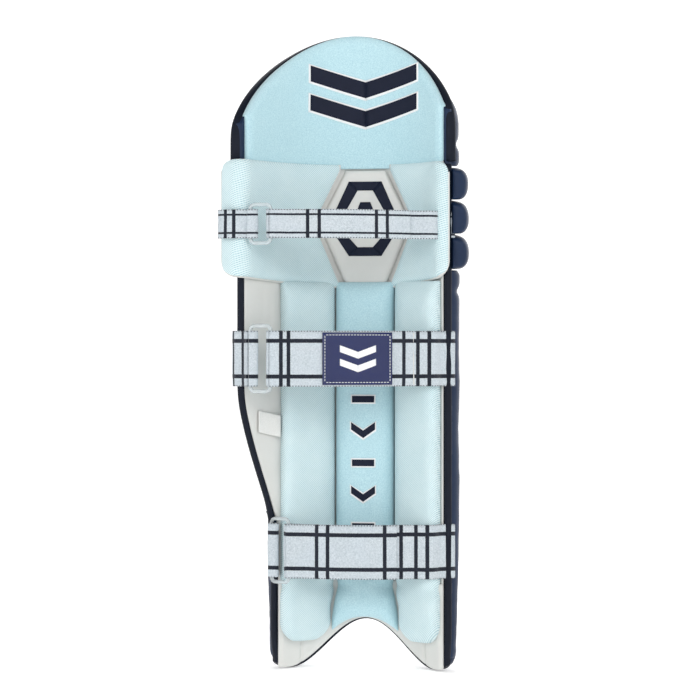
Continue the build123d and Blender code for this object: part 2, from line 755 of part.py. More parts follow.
def strap_nodes():
    nodes = {"size_label": size_label()}
    for name, strap in STRAPS.items():
        line = StrapLine(strap)
        nodes[f"{name}_anchor"] = strap_anchor(line)
        nodes[f"{name}_ring"] = strap_ring(line)
        nodes[f"{name}_strap"] = strap_band(line)
        nodes[f"{name}_tail"] = strap_tail(line)
    calf = StrapLine(STRAPS["calf"])
    nodes["calf_badge"] = calf_badge(calf)
    nodes["calf_strap_tab"] = calf_strap_tab(calf)
    return nodes


def solids_of(shape):
    pieces = shape if isinstance(shape, list) else [shape]
    return [solid for piece in pieces for solid in piece.solids()]


def main():
    nodes = {**shell_nodes(), **knee_nodes(), **bolster_nodes(), **top_hat_nodes(), **strap_nodes()}
    groups = {name: Compound(children=solids_of(shape)) for name, shape in nodes.items()}
    box = Compound(children=[Solid.make_box(*g.bounding_box().size, Plane(g.bounding_box().min))
                             for g in groups.values()]).bounding_box()
    move = Pos(-round(box.center().X, 1), -round(box.center().Y, 1), -round(box.min.Z, 1))
    os.makedirs("parts", exist_ok=True)
    for name, group in groups.items():
        export_step(move * group, f"parts/{name}.step")


main()
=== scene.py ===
import json
from math import acos, asin, atan2, copysign, cos, degrees, exp, hypot, pi, radians, sin, sqrt

import bmesh
import bpy
import numpy as np
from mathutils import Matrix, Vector, noise


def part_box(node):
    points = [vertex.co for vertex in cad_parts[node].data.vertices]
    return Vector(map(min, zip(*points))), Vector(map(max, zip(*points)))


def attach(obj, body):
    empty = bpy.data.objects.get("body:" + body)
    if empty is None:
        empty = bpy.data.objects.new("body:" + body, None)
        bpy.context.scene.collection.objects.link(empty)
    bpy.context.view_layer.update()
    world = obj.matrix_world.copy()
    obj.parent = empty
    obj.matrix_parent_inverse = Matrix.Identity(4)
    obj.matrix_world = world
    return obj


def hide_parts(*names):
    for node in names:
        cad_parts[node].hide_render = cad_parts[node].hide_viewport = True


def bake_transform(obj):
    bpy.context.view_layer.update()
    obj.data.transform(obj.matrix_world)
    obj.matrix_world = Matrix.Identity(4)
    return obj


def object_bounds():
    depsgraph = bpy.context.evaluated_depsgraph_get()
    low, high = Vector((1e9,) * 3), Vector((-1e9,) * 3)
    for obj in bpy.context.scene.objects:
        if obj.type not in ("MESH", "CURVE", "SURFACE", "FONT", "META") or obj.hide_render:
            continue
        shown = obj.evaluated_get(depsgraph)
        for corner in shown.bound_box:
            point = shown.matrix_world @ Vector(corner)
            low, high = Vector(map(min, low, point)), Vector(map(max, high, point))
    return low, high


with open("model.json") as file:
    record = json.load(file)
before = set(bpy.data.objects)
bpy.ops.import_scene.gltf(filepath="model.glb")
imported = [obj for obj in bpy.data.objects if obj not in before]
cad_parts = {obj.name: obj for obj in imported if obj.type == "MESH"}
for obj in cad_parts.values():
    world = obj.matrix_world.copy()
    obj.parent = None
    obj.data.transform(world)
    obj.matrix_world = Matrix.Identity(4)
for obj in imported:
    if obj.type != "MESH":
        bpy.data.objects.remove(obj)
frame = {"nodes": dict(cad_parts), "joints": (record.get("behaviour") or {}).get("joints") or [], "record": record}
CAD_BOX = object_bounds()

# ---- Sizes shared with the CAD
SHELL_R = 0.115  # front of the shell, on which the stuffing stands
CORE_R = 0.107  # back of the shell
LINING_R = 0.105  # inner face of the lining
CHANNEL_PROUD = 0.020
ROLL_PROUD = 0.026
EDGE, WING = 56.0, 86.0  # plan angles where the channels and the outer wing end
STEP = 16.0  # plan angle from channel to channel
CHANNELS, CHANNEL_GAP = 7, 0.6
KNEE_HIGH = 0.543
KNEE_MIDDLE, KNEE_HALF = 6.0, 76.0  # plan angles over which the knee seams arch
ROLL_SEAMS = ((0.422, 0.430), (0.455, 0.477), (0.492, 0.511), (0.529, 0.543))  # side, middle
INSTEP_TOP = 0.127
ARCH_HIGH, ARCH_HALF = 0.050, 0.080
TOE_EDGE, TOE_ROUND = 0.0975, 0.0145
TOE_TOP = 0.092
WING_TIP, WING_FULL = 0.150, 0.290
DOME_X, DOME_A, DOME_B = 0.0125, 0.1165, 0.134  # the top hat's oval: middle, half width, height
FLARE_R, FLARE_FROM, FLARE_BEND = 0.110, 50.0, 0.45
CUP = ((0.021, 0.533), (0.048, 0.476), (0.021, 0.409))  # half width and height, from the top
CUP_R, CUP_LOW, CUP_HIGH = 0.100, 0.409, 0.533
BOLSTER_TOP = 0.413
WEB = 0.002

# ---- Sizes of the skins only
SKIN_BACK = SHELL_R - 0.0005  # hidden back of what is stuffed onto the shell
LINING_BACK = LINING_R - 0.0002
ROLL_START, ROLL_END = -EDGE - 3.5, 84.0
TUFTS, TUFT_MIDDLE, TUFT_RISE = 5, 8.0, 0.003
TUFT_ANGLES = [TUFT_MIDDLE + STEP * (tuft - (TUFTS - 1) / 2) for tuft in range(TUFTS)]
BOUND, BOUND_THICK = 0.9, 0.0021  # binding: plan angle past the edge, half thickness
KNEE_LAP = KNEE_HIGH - 0.008  # where the top hat's skins start, behind the knee seam
TOP_LEAN = 9.0  # how far the top-hat seams fan out
KNEE_BEND = (0.533, 0.560)  # heights of the knee seam's bend when the top hat leans back
FLAP_BACK, FLAP_FOLD = LINING_R - 0.0006, 0.005
FLAP_LOW, FLAP_HIGH = 0.408, 0.539
WAIST_Z = 0.088  # seam across the bolsters above their toes
TIE_R = 0.0034  # radius at which webbing goes round a bar of its ring
PAD_SHARE_OF_PICTURE = 0.915
CAMERA_TURN = 8.0

_low, _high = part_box("shin_channel_4")
AXIS_X = (_low.x + _high.x) / 2
AXIS_Y = _low.y + SHELL_R + CHANNEL_PROUD
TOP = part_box("top_hat_binding")[1].z
JOINTS = {j["name"]: j for j in frame["joints"]}


def pt(r, angle, z):
    """Point at a radius and a plan angle in degrees about the leg's axis.

    Past FLARE_FROM the plan line bends less than the cylinder, so the wing stands open.
    """
    turn = radians(min(angle, FLARE_FROM))
    x, y = FLARE_R * sin(turn), -FLARE_R * cos(turn)
    over = radians(angle) - turn
    if over > 0:
        bend = FLARE_BEND * over
        x += FLARE_R * (sin(turn + bend) - sin(turn)) / FLARE_BEND
        y += FLARE_R * (cos(turn) - cos(turn + bend)) / FLARE_BEND
        turn += bend
    off = r - FLARE_R
    return Vector((AXIS_X + x + off * sin(turn), AXIS_Y + y - off * cos(turn), z))


def across(r, angle):
    """Distance across from the leg's axis."""
    return pt(r, angle, 0).x - AXIS_X


def outward(p):
    return Vector((p.x - AXIS_X, p.y - AXIS_Y, 0)).normalized()


def angle_at(x, r):
    """Plan angle of a place on the cylinder r at a distance across from the leg's axis."""
    return degrees(asin(x / r))


def smooth(x):
    x = min(max(x, 0.0), 1.0)
    return x * x * (3 - 2 * x)


def dome_end(distance, radius):
    """Quarter-round fall of a stuffed piece towards its edge."""
    x = 1 - min(max(distance / radius, 0.0), 1.0)
    return sqrt(max(0.0, 1 - x * x))


def crown(t, power=2.2, root=0.6):
    return max(0.0, 1 - abs(t) ** power) ** root


def hump(x, wide):
    return exp(-((x / wide) ** 2))


def dip(z, where, deep, wide):
    """Share of the stuffing that is left beside a cross seam."""
    return 1 - deep * hump(z - where, wide)


def ripple(a, z, scale, seed):
    s = radians(a) * SHELL_R
    return noise.noise(Vector((s / scale, z / scale, seed)))


# ---- Outlines
def toe_z(x):
    """Height of the pad's lower edge at a distance across from the leg's axis."""
    side = abs(x)
    bell = max(0.0, 0.5 + 0.5 * cos(pi * min(side / ARCH_HALF, 1.0)))
    past = min(max(side - (TOE_EDGE - TOE_ROUND), 0.0), TOE_ROUND * 0.98)
    return ARCH_HIGH * bell**0.85 + TOE_ROUND - sqrt(TOE_ROUND**2 - past**2)


def toe_at(angle, r):
    return toe_z(r * sin(radians(angle)))


def wing_edge(z):
    """Plan angle of the outer wing's free edge at a height."""
    share = min(max((z - WING_TIP) / (WING_FULL - WING_TIP), 0.0), 1.0)
    share = 0.75 * share + 0.25 * smooth(share)
    low, high = cos(radians(EDGE)), cos(radians(WING))
    return degrees(acos(low + (high - low) * share))


def dome_z(angle, inset=0.0):
    x = across(SHELL_R, angle) - DOME_X
    half, height = DOME_A - inset, DOME_B - inset
    return KNEE_HIGH + height * sqrt(max(0.0, 1 - (x / half) ** 2))


def knee_arch(angle):
    """How far the knee seams have risen at a plan angle, from 0 at the sides to 1."""
    return cos(radians(min(max((angle - KNEE_MIDDLE) * 90 / KNEE_HALF, -90), 90)))


def seam_z(index, angle):
    side, middle = ROLL_SEAMS[index]
    return side + (middle - side) * knee_arch(angle)


# ---- Mesh helpers
def mesh_object(name, verts, faces, uvs=None):
    mesh = bpy.data.meshes.new(name)
    mesh.from_pydata([tuple(v) for v in verts], [], faces)
    if uvs is not None:
        layer = mesh.uv_layers.new(name="flat")
        for loop in mesh.loops:
            layer.data[loop.index].uv = uvs[loop.vertex_index]
    bm = bmesh.new()
    bm.from_mesh(mesh)
    bmesh.ops.recalc_face_normals(bm, faces=bm.faces)
    bm.to_mesh(mesh)
    bm.free()
    mesh.shade_smooth()
    obj = bpy.data.objects.new(name, mesh)
    bpy.context.scene.collection.objects.link(obj)
    return obj


def spread(n, mix=0.75):
    """Numbers from 0 to 1, closer together near both ends."""
    even = np.linspace(0, 1, n + 1)
    return mix * (1 - np.cos(np.pi * even)) / 2 + (1 - mix) * even


def slab_faces(nu, nv, base=0):
    """Faces of a closed slab whose two layers are grids of nu by nv points."""
    def at(i, j, layer):
        return base + layer * nu * nv + i * nv + j

    faces = [
        (at(i, j, layer), at(i + 1, j, layer), at(i + 1, j + 1, layer), at(i, j + 1, layer))
        for layer in (0, 1) for i in range(nu - 1) for j in range(nv - 1)
    ]
    border = [(i, 0) for i in range(nu)] + [(nu - 1, j) for j in range(1, nv)]
    border += [(i, nv - 1) for i in range(nu - 2, -1, -1)] + [(0, j) for j in range(nv - 2, 0, -1)]
    for (i, j), (k, m) in zip(border, border[1:] + border[:1]):
        faces.append((at(i, j, 0), at(k, m, 0), at(k, m, 1), at(i, j, 1)))
    return faces


def closed_grid(name, front, back, flat):
    """Closed skin from a front and a back grid of points with the same borders."""
    verts = [p for row in front + back for p in row]
    uvs = [p for row in flat for p in row] * 2
    return mesh_object(name, verts, slab_faces(len(front), len(front[0])), uvs)


def pillow(name, place, height, back_r, nu=20, nv=60, mix=0.75, to=pt):
    """Stuffed piece on the pad's cylinder.

    place(u, v) gives the plan angle and the height above the floor, height(u, v, angle, z)
    the radius of its visible skin, and back_r the radius of its hidden back.
    """
    front, back, flat = [], [], []
    for u in spread(nu, mix):
        rows = [place(u, v) + (v,) for v in spread(nv, 0.5)]
        front.append([to(height(u, v, a, z), a, z) for a, z, v in rows])
        back.append([to(back_r, a, z) for a, z, v in rows])
        flat.append([(radians(a) * SHELL_R, z) for a, z, v in rows])
    return closed_grid(name, front, back, flat)


def smoothed(points, rounds):
    points = [Vector(p) for p in points]
    for _ in range(rounds):
        inner = [(a + b * 2 + c) / 4 for a, b, c in zip(points, points[1:], points[2:])]
        points = points[:1] + inner + points[-1:]
    return points


def tube(name, points, wide, thin, sides=14):
    """Tube of oval section along points, whose wide axis points away from the leg."""
    verts, faces, uvs = [], [], []
    count = len(points)
    run = 0.0
    for i, p in enumerate(points):
        ahead, behind = points[min(i + 1, count - 1)], points[max(i - 1, 0)]
        run += (p - behind).length
        along = (ahead - behind).normalized()
        side = outward(p)
        side = (side - along * side.dot(along)).normalized()
        up = along.cross(side)
        for k in range(sides):
            turn = 2 * pi * k / sides
            verts.append(p + side * wide * cos(turn) + up * thin * sin(turn))
            uvs.append((run, wide * sin(turn)))
    for i in range(count - 1):
        a, b = i * sides, (i + 1) * sides
        faces += [(a + k, a + (k + 1) % sides, b + (k + 1) % sides, b + k) for k in range(sides)]
    faces += [tuple(range(sides)), tuple(range((count - 1) * sides, count * sides))]
    return mesh_object(name, verts, faces, uvs)


def dress(obj, material, body, *nodes, padded=None):
    """Gives a piece its material, its body and the CAD nodes it stands for."""
    obj.data.materials.append(material)
    if body:
        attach(obj, body)
    if nodes:
        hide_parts(*nodes)
    SLOT_OF.get(material.name, "webbing")
    return obj


# ---- Materials
class Nodes:
    """Short hand for building one material's nodes."""

    def __init__(self, name):
        self.material = bpy.data.materials.new(name)
        self.material.use_nodes = True
        self.tree = self.material.node_tree
        self.shader = self.tree.nodes["Principled BSDF"]

    def add(self, kind, **values):
        node = self.tree.nodes.new(kind)
        for key, value in values.items():
            if hasattr(node, key):
                setattr(node, key, value)
            else:
                node.inputs[key].default_value = value
        return node

    def link(self, source, target):
        self.tree.links.new(source, target)

    def put(self, value, socket):
        """Links an output to a socket, or sets the socket to a number or a colour."""
        if hasattr(value, "links"):
            self.link(value, socket)
        else:
            socket.default_value = (*value, 1) if isinstance(value, tuple) and len(value) == 3 else value

    def math(self, operation, a, b=0.0, c=None):
        node = self.add("ShaderNodeMath", operation=operation)
        for i, value in enumerate((a, b, c)):
            if value is not None:
                self.put(value, node.inputs[i])
        return node.outputs[0]

    def scaled(self, value, gain, offset):
        return self.math("MULTIPLY_ADD", value, gain, offset)

    def times(self, a, b):
        return self.math("MULTIPLY", a, b)

    def wave(self, value, length):
        return self.math("SINE", self.times(value, 2 * pi / length))

    def contrast(self, value):
        """The middle of a noise stretched to the whole range from 0 to 1."""
        sharp = self.scaled(value, 2.6, -0.8)
        sharp.node.use_clamp = True
        return sharp

    def coords(self, kind="Object"):
        return self.add("ShaderNodeTexCoord").outputs[kind]

    def texture(self, kind, output, **values):
        node = self.add(kind, **values)
        self.link(self.coords(), node.inputs["Vector"])
        return node.outputs[output]

    def noise(self, scale, detail=4.0, roughness=0.55):
        return self.texture("ShaderNodeTexNoise", "Fac", Scale=scale, Detail=detail, Roughness=roughness)

    def mix(self, factor, a, b):
        node = self.add("ShaderNodeMix", data_type="RGBA")
        for index, value in ((0, factor), (6, a), (7, b)):
            self.put(value, node.inputs[index])
        return node.outputs[2]

    def blotched(self, colour, other, share, scale, detail=4.0):
        """Colour with cloudy patches that lean towards another."""
        return self.mix(self.times(self.noise(scale, detail), share), colour, other)

    def bump(self, height, strength, distance, below=None):
        node = self.add("ShaderNodeBump", Strength=strength, Distance=distance)
        self.link(height, node.inputs["Height"])
        if below:
            self.link(below, node.inputs["Normal"])
        return node.outputs["Normal"]

    def finish(self, colour=None, roughness=None, normal=None, **constants):
        values = {"Base Color": colour, "Roughness": roughness, "Normal": normal}
        values.update((key.replace("_", " "), value) for key, value in constants.items())
        for socket, value in values.items():
            if value is not None:
                self.put(value, self.shader.inputs[socket])
        return self.material


def leather(name, dark, light, rough=(0.36, 0.52), grain=1.0, specular=0.5):
    """Coated leather: pebbled grain, soft creases and slightly uneven gloss."""
    n = Nodes(name)
    cells = n.texture("ShaderNodeTexVoronoi", "Distance", feature="DISTANCE_TO_EDGE", Scale=900.0)
    pores = n.math("MINIMUM", cells, 0.25)
    creases = n.noise(55.0, 5.0)
    colour = n.mix(n.scaled(n.noise(9.0, 3.0), 1.6, -0.3), dark, light)
    colour = n.blotched(colour, dark, 0.25, 240.0, 2.0)
    roughness = n.scaled(creases, rough[1] - rough[0], rough[0])
    below = n.bump(creases, 0.25 * grain, 0.0012)
    normal = n.bump(pores, 0.35 * grain, 0.00035, below)
    return n.finish(colour, roughness, normal, Specular_IOR_Level=specular)


def brushed(name, base, pale):
    """Short brushed pile: fine speckle with a soft sheen."""
    n = Nodes(name)
    fibre = n.noise(900.0, 3.0, roughness=0.8)
    tufts = n.noise(300.0, 4.0)
    colour = n.blotched(n.mix(n.contrast(fibre), base, pale), base, 0.30, 14.0, 3.0)
    normal = n.bump(fibre, 0.5, 0.0005, n.bump(tufts, 0.35, 0.0008))
    return n.finish(colour, 0.92, normal, Sheen_Weight=0.35, Sheen_Roughness=0.5,
                    Specular_IOR_Level=0.15)


def flat_axes(n):
    split = n.add("ShaderNodeSeparateXYZ")
    n.link(n.coords("UV"), split.inputs[0])
    return split.outputs[0], split.outputs[1]


def twill(name, yarn, gap, pitch=0.0023):
    """Two-tone diagonal weave laid out in metres on the flattened piece."""
    n = Nodes(name)
    u, v = flat_axes(n)
    wander = n.scaled(n.noise(60.0, 2.0), 0.0016, -0.0008)
    slope = n.math("ADD", n.math("ADD", n.times(u, 0.8), v), wander)
    cross = n.math("SUBTRACT", n.times(u, 1.1), n.times(v, 0.9))
    ribs = n.scaled(n.wave(slope, pitch), 0.5, 0.5)
    knots = n.scaled(n.wave(cross, pitch / 1.25), 0.5, 0.5)
    hole = n.times(n.math("POWER", ribs, 2.0), n.scaled(knots, 0.7, 0.3))
    mottled = n.times(hole, n.scaled(n.noise(30.0, 3.0), 1.2, 0.45))
    colour = n.blotched(n.mix(mottled, yarn, gap), gap, 0.18, 900.0, 2.0)
    height = n.math("SUBTRACT", 1.0, hole)
    normal = n.bump(height, 0.6, 0.0006, n.bump(n.noise(160.0, 3.0), 0.2, 0.0008))
    return n.finish(colour, 0.85, normal, Sheen_Weight=0.25, Specular_IOR_Level=0.2)


def webbing(name, width, line_in, line_wide, bars, bar_wide):
    """Woven elastic: pale yarn with two border lines and pairs of bars across it."""
    n = Nodes(name)
    u, v = flat_axes(n)

    def band(value, middle, wide, soft=0.0002):
        off = n.math("ABSOLUTE", n.math("SUBTRACT", value, middle))
        fade = n.add("ShaderNodeMapRange", interpolation_type="SMOOTHSTEP")
        fade.inputs["From Min"].default_value = wide / 2 + soft
        fade.inputs["From Max"].default_value = wide / 2 - soft
        n.link(off, fade.inputs["Value"])
        return fade.outputs["Result"]

    frayed = n.scaled(n.noise(1400.0, 1.0), 0.0007, -0.00035)
    vv = n.math("ADD", n.math("ABSOLUTE", v), frayed)
    dark = band(vv, width / 2 - line_in, line_wide)
    uu = n.math("ADD", u, frayed)
    for middle in bars:
        dark = n.math("MAXIMUM", dark, band(uu, middle, bar_wide))
    picks = n.math("GREATER_THAN", n.wave(u, 0.0030), 0.1)
    selvedge = n.times(band(vv, width / 2 - 0.0006, 0.0010), n.times(picks, 0.8))
    dark = n.math("MAXIMUM", dark, selvedge)
    weave = n.scaled(n.times(n.wave(u, 0.0021), n.wave(v, 0.0017)), 0.5, 0.5)
    speck = n.contrast(n.noise(620.0, 3.0, 0.7))
    pale = n.mix(speck, (0.40, 0.46, 0.49), (0.80, 0.84, 0.87))
    pale = n.mix(n.times(weave, 0.55), pale, (0.44, 0.50, 0.54))
    pale = n.blotched(pale, (0.55, 0.64, 0.72), 0.5, 26.0, 2.0)
    colour = n.mix(dark, pale, n.mix(speck, (0.004, 0.006, 0.012), (0.02, 0.026, 0.042)))
    normal = n.bump(weave, 0.5, 0.0005, n.bump(speck, 0.3, 0.0004))
    return n.finish(colour, 0.82, normal, Sheen_Weight=0.2, Specular_IOR_Level=0.25)


def plastic(name, colour, rough, transmission=0.0, coat=0.0):
    n = Nodes(name)
    scuffs = n.noise(180.0, 4.0)
    roughness = n.scaled(scuffs, 0.2, rough)
    mottled = n.blotched(colour, tuple(c * 0.85 for c in colour), 0.3, 40.0)
    return n.finish(mottled, roughness, n.bump(scuffs, 0.08, 0.0003),
                    Transmission_Weight=transmission, Coat_Weight=coat, IOR=1.46)


def grain_wood(name):
    n = Nodes(name)
    fibres = n.texture("ShaderNodeTexWave", "Fac", Scale=120.0, Distortion=3.0, Detail=3.0)
    colour = n.mix(fibres, (0.60, 0.43, 0.20), (0.42, 0.27, 0.11))
    return n.finish(colour, 0.55, n.bump(fibres, 0.3, 0.0005))


def foam(name, colour):
    n = Nodes(name)
    cells = n.texture("ShaderNodeTexVoronoi", "Distance", Scale=700.0)
    shade = n.mix(cells, colour, tuple(c * 0.6 for c in colour))
    return n.finish(shade, 0.95, n.bump(cells, 0.5, 0.0006))


NAVY = leather("navy_coated_leather", (0.0032, 0.0130, 0.0420), (0.0062, 0.0235, 0.0700),
               (0.34, 0.50), specular=0.28)
NAVY_EDGE = leather("navy_edge_binding", (0.002, 0.004, 0.011), (0.004, 0.008, 0.020),
                    (0.45, 0.6), specular=0.2)
WHITE = leather("white_coated_leather", (0.64, 0.64, 0.61), (0.76, 0.76, 0.74), (0.45, 0.6), 0.8, 0.3)
SILVER = leather("silver_coated_patch", (0.50, 0.52, 0.54), (0.60, 0.62, 0.64), (0.3, 0.45), 0.5)
GLOSS_NAVY = leather("gloss_navy_film", (0.008, 0.014, 0.075), (0.012, 0.022, 0.110), (0.12, 0.25), 0.25)
INK = leather("navy_print", (0.004, 0.007, 0.020), (0.008, 0.012, 0.032), (0.5, 0.65), 0.5, 0.2)
WHITE_INK = leather("white_print", (0.84, 0.85, 0.86), (0.90, 0.91, 0.92), (0.45, 0.6), 0.5, 0.3)
FLEECE = brushed("pale_blue_fleece", (0.36, 0.60, 0.68), (0.66, 0.86, 0.90))
MESH = twill("pale_blue_twill", (0.78, 0.90, 0.91), (0.26, 0.50, 0.58))
RING = plastic("cloudy_ring_plastic", (0.86, 0.92, 0.94), 0.10, 0.6, 0.3)
THREAD = plastic("pale_thread", (0.75, 0.78, 0.80), 0.7)
LABEL = brushed("label_cloth", (0.74, 0.74, 0.71), (0.86, 0.86, 0.84))
CANE = grain_wood("split_cane")
FOAM = foam("pale_foam", (0.70, 0.71, 0.68))
BOARD = foam("dark_foam_board", (0.05, 0.055, 0.065))


MATERIALS = {
    "cane": CANE, "foam": FOAM, "core_board": BOARD, "navy_pu": NAVY, "navy_binding": NAVY_EDGE,
    "white_pu": WHITE, "silver_patch": SILVER, "navy_print": INK, "blue_fleece": FLEECE,
    "blue_mesh": MESH, "clear_plastic": RING, "webbing": THREAD, "label_cloth": LABEL,
}
SLOT_OF = {material.name: slot for slot, material in MATERIALS.items()}
SLOT_OF.update({WHITE_INK.name: "white_pu", THREAD.name: "white_pu", GLOSS_NAVY.name: "navy_print"})


def dress_nodes():
    """Every CAD node, in view or hidden inside, gets its own material."""
    slots = {s["node"]: s["material_slot"] for s in frame["record"]["subparts"]}
    for name, obj in frame["nodes"].items():
        obj.data.materials.clear()
        obj.data.materials.append(MATERIALS[slots[name]])


# ---- Navy front
def channel_span(number):
    first = (number - CHANNELS / 2) * STEP + CHANNEL_GAP / 2
    return first, first + STEP - CHANNEL_GAP


def front_skin(u, a, z, proud, ends, seed):
    """Radius of a stuffed channel's skin, with a crown, rounded ends and shallow puckers."""
    t = 2 * u - 1
    bulge = crown(t) * ends
    edge_pucker = (abs(t) ** 3) * 0.0009 * noise.noise(Vector((z / 0.006, seed, 3.1)))
    soft = 0.0016 * ripple(a, z, 0.045, seed) + 0.0005 * ripple(a, z, 0.012, seed + 7)
    return SHELL_R + proud * bulge + (soft + edge_pucker) * ends


def shin_channels():
    for number in range(CHANNELS):
        first, last = channel_span(number)
        central = 2 <= number <= 4

        def bottom(a):
            return INSTEP_TOP if central else toe_at(a, 1.06 * SHELL_R)

        def place(u, v):
            a = first + (last - first) * u
            low = bottom(a) + (0.001 if central else 0.003)
            high = seam_z(0, a) - 0.0005
            return a, low + (high - low) * v

        def height(u, v, a, z):
            ends = dome_end(z - bottom(a) + 0.002, 0.013) * dome_end(seam_z(0, a) + 0.003 - z, 0.010)
            ends *= dip(z, 0.401 + 0.004 * knee_arch(a), 0.20, 0.0045)
            taper = 1 if central else 1 - 0.30 * smooth((0.135 - z) / 0.13)
            return front_skin(u, a, z, CHANNEL_PROUD * 0.93 * taper, ends, number * 1.7)

        dress(pillow(f"shin_channel_skin_{number + 1}", place, height, SKIN_BACK, 18, 150),
              NAVY, "pad", f"shin_channel_{number + 1}", padded=0.9)


def top_channels():
    for number in range(CHANNELS):
        first, last = channel_span(number)

        def place(u, v):
            a = first + (last - first) * u
            lean = TOP_LEAN * (u if number == 0 else 1.0)
            low = seam_z(3, a) + 0.001
            high = dome_z(a + lean * (dome_z(a) - KNEE_HIGH) / DOME_B, 0.0015)
            z = low + (high - low) * v
            return a + lean * max(0.0, z - KNEE_HIGH) / DOME_B, z

        def height(u, v, a, z):
            low, high = seam_z(3, a), dome_z(a, 0.003)
            ends = dome_end(z - low + 0.003, 0.010) * (0.12 + 0.88 * dome_end(high - z, 0.018))
            ends *= dip(z, low + 0.024, 0.22, 0.005)
            flare = 1 - 0.22 * smooth((z - low - 0.04) / 0.09)
            return front_skin(u, a, z, CHANNEL_PROUD * 0.93 * flare, ends, 20 + number * 1.3)

        obj = pillow(f"top_hat_channel_skin_{number + 1}", place, height, SKIN_BACK, 18, 80)
        nodes = (f"top_hat_channel_{number + 1}", "top_hat_canes")
        dress(obj, NAVY, "top_hat", *nodes, padded=0.9)


def tuft_z(angle):
    return (seam_z(1, angle) + seam_z(2, angle)) / 2 + TUFT_RISE


def knee_rolls():
    for index, name in enumerate(("lower", "middle", "upper")):
        def place(u, v):
            a = ROLL_START + (ROLL_END - ROLL_START) * v
            shrink = 0.0045 * (1 - dome_end(min(a - ROLL_START, ROLL_END - a), 7.0)) + 0.0006
            low, high = seam_z(index, a) + shrink, seam_z(index + 1, a) - shrink
            return a, low + (high - low) * u

        def height(u, v, a, z):
            end = min(a - ROLL_START, ROLL_END - a)
            body = 0.30 + 0.55 * smooth(1 - end / 24.0)
            rise = crown(2 * u - 1, 2.3, 0.58)
            bulge = (body * rise**0.35 + (1 - body) * rise) * (0.36 + 0.64 * dome_end(end, 10.0))
            r = SHELL_R + 0.0005 + (ROLL_PROUD - 0.001) * bulge
            soft = 0.0022 * ripple(a, z, 0.07, 40 + index) + 0.0006 * ripple(a, z, 0.018, 44 + index)
            r += bulge * soft
            for middle in TUFT_ANGLES if name == "middle" else ():
                away = hypot(radians(a - middle) * (SHELL_R + ROLL_PROUD), z - tuft_z(a))
                r -= 0.0042 * hump(away, 0.0042) + 0.0012 * hump(away, 0.011)
            return r

        dress(pillow(f"knee_roll_skin_{name}", place, height, SKIN_BACK, 26, 220, 0.6),
              NAVY, "pad", f"knee_roll_{name}", "knee_roll_cores", padded=1.0)


def tuft_knots():
    for number, a in enumerate(TUFT_ANGLES, 1):
        z = tuft_z(a)
        p = pt(SHELL_R + ROLL_PROUD - 0.0058, a, z)
        side = (pt(1, a + 1, z) - pt(1, a - 1, z)).normalized()
        points = [p + side * x * 0.0016 + outward(p) * (0.0006 * cos(x * 1.4))
                  for x in np.linspace(-1, 1, 7)]
        knot = tube(f"tuft_stitch_{number}", points, 0.0006, 0.0005, 8)
        dress(knot, NAVY_EDGE, "pad", "knee_roll_tufts")


def pinched(full, a, z):
    """Radius of the wing's front skin, which thins out towards the wing's free edge."""
    left = radians(max(0.0, wing_edge(z) - a)) * SHELL_R
    thin = CORE_R + 0.0020
    return thin + (full - thin) * smooth(left / 0.018) ** 0.7


def instep_panel():
    half = 23.6

    def place(u, v):
        a = half * (2 * u - 1)
        low = toe_at(a, 1.05 * SHELL_R) + 0.0025
        return a, low + (INSTEP_TOP - 0.001 - low) * v

    def height(u, v, a, z):
        ends = dome_end(z - toe_at(a, 1.05 * SHELL_R), 0.008) * dome_end(INSTEP_TOP - z, 0.008)
        r = SHELL_R + 0.0005 + 0.0105 * crown(2 * u - 1, 8, 0.5) * ends
        return r + 0.0008 * ripple(a, z, 0.04, 60) * ends

    dress(pillow("instep_panel_skin", place, height, SKIN_BACK, 40, 40),
          NAVY, "pad", "instep_panel", padded=0.8)


def outer_wing():
    low, high, start = WING_TIP - 0.012, seam_z(0, 70) - 0.002, EDGE - 0.8

    def place(u, v):
        z = low + (high - low) * v
        return start + (wing_edge(z) - start) * u, z

    def height(u, v, a, z):
        wide = max(wing_edge(z) - EDGE, 0.5)
        ends = dome_end(high + 0.004 - z, 0.010) * min(1.0, 0.2 + wide / 8)
        bulge = crown(2 * u - 1, 5, 0.5) * ends
        full = SHELL_R + 0.0008 + 0.0048 * bulge + 0.0014 * ripple(a, z, 0.05, 66) * bulge
        return pinched(full, a, z) if z > WING_TIP + 0.02 else full

    dress(pillow("outer_wing_skin", place, height, CORE_R + 0.0008, 30, 110),
          NAVY, "pad", "outer_wing", padded=0.6)


def bend_with_top_hat(obj, material, *nodes, padded=None):
    """Dresses a skin over the knee seam, where the top hat leans back, and bakes its transform."""
    dress(obj, material, None, *nodes, padded=padded)
    x, y, _ = JOINTS["top_hat_lean"]["pos_m"]
    start, end = ((x, y, z) for z in KNEE_BEND)
    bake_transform(obj)
    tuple(start)
    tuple(end)


def top_hat_shell():
    def place(u, v):
        a = -EDGE - 0.6 + (WING + EDGE + 1.2) * u
        high = max(dome_z(min(max(a, -EDGE), WING)), KNEE_LAP + 0.010)
        return a, KNEE_LAP + (high - KNEE_LAP) * v

    def height(u, v, a, z):
        if a < EDGE:
            return SHELL_R + 0.0004
        inner = smooth((a - EDGE) / 2)
        ends = 0.3 + 0.7 * dome_end(dome_z(a, 0.002) - z, 0.02)
        ends *= dome_end(z - KNEE_HIGH + 0.002, 0.008)
        return SHELL_R + 0.0004 + 0.0052 * inner * ends + 0.0012 * ripple(a, z, 0.05, 70) * inner

    obj = pillow("top_hat_shell_skin", place, height, CORE_R + 0.0008, 120, 80, 0.2)
    bend_with_top_hat(obj, NAVY, "top_hat_core", "top_hat_wing", padded=0.5)


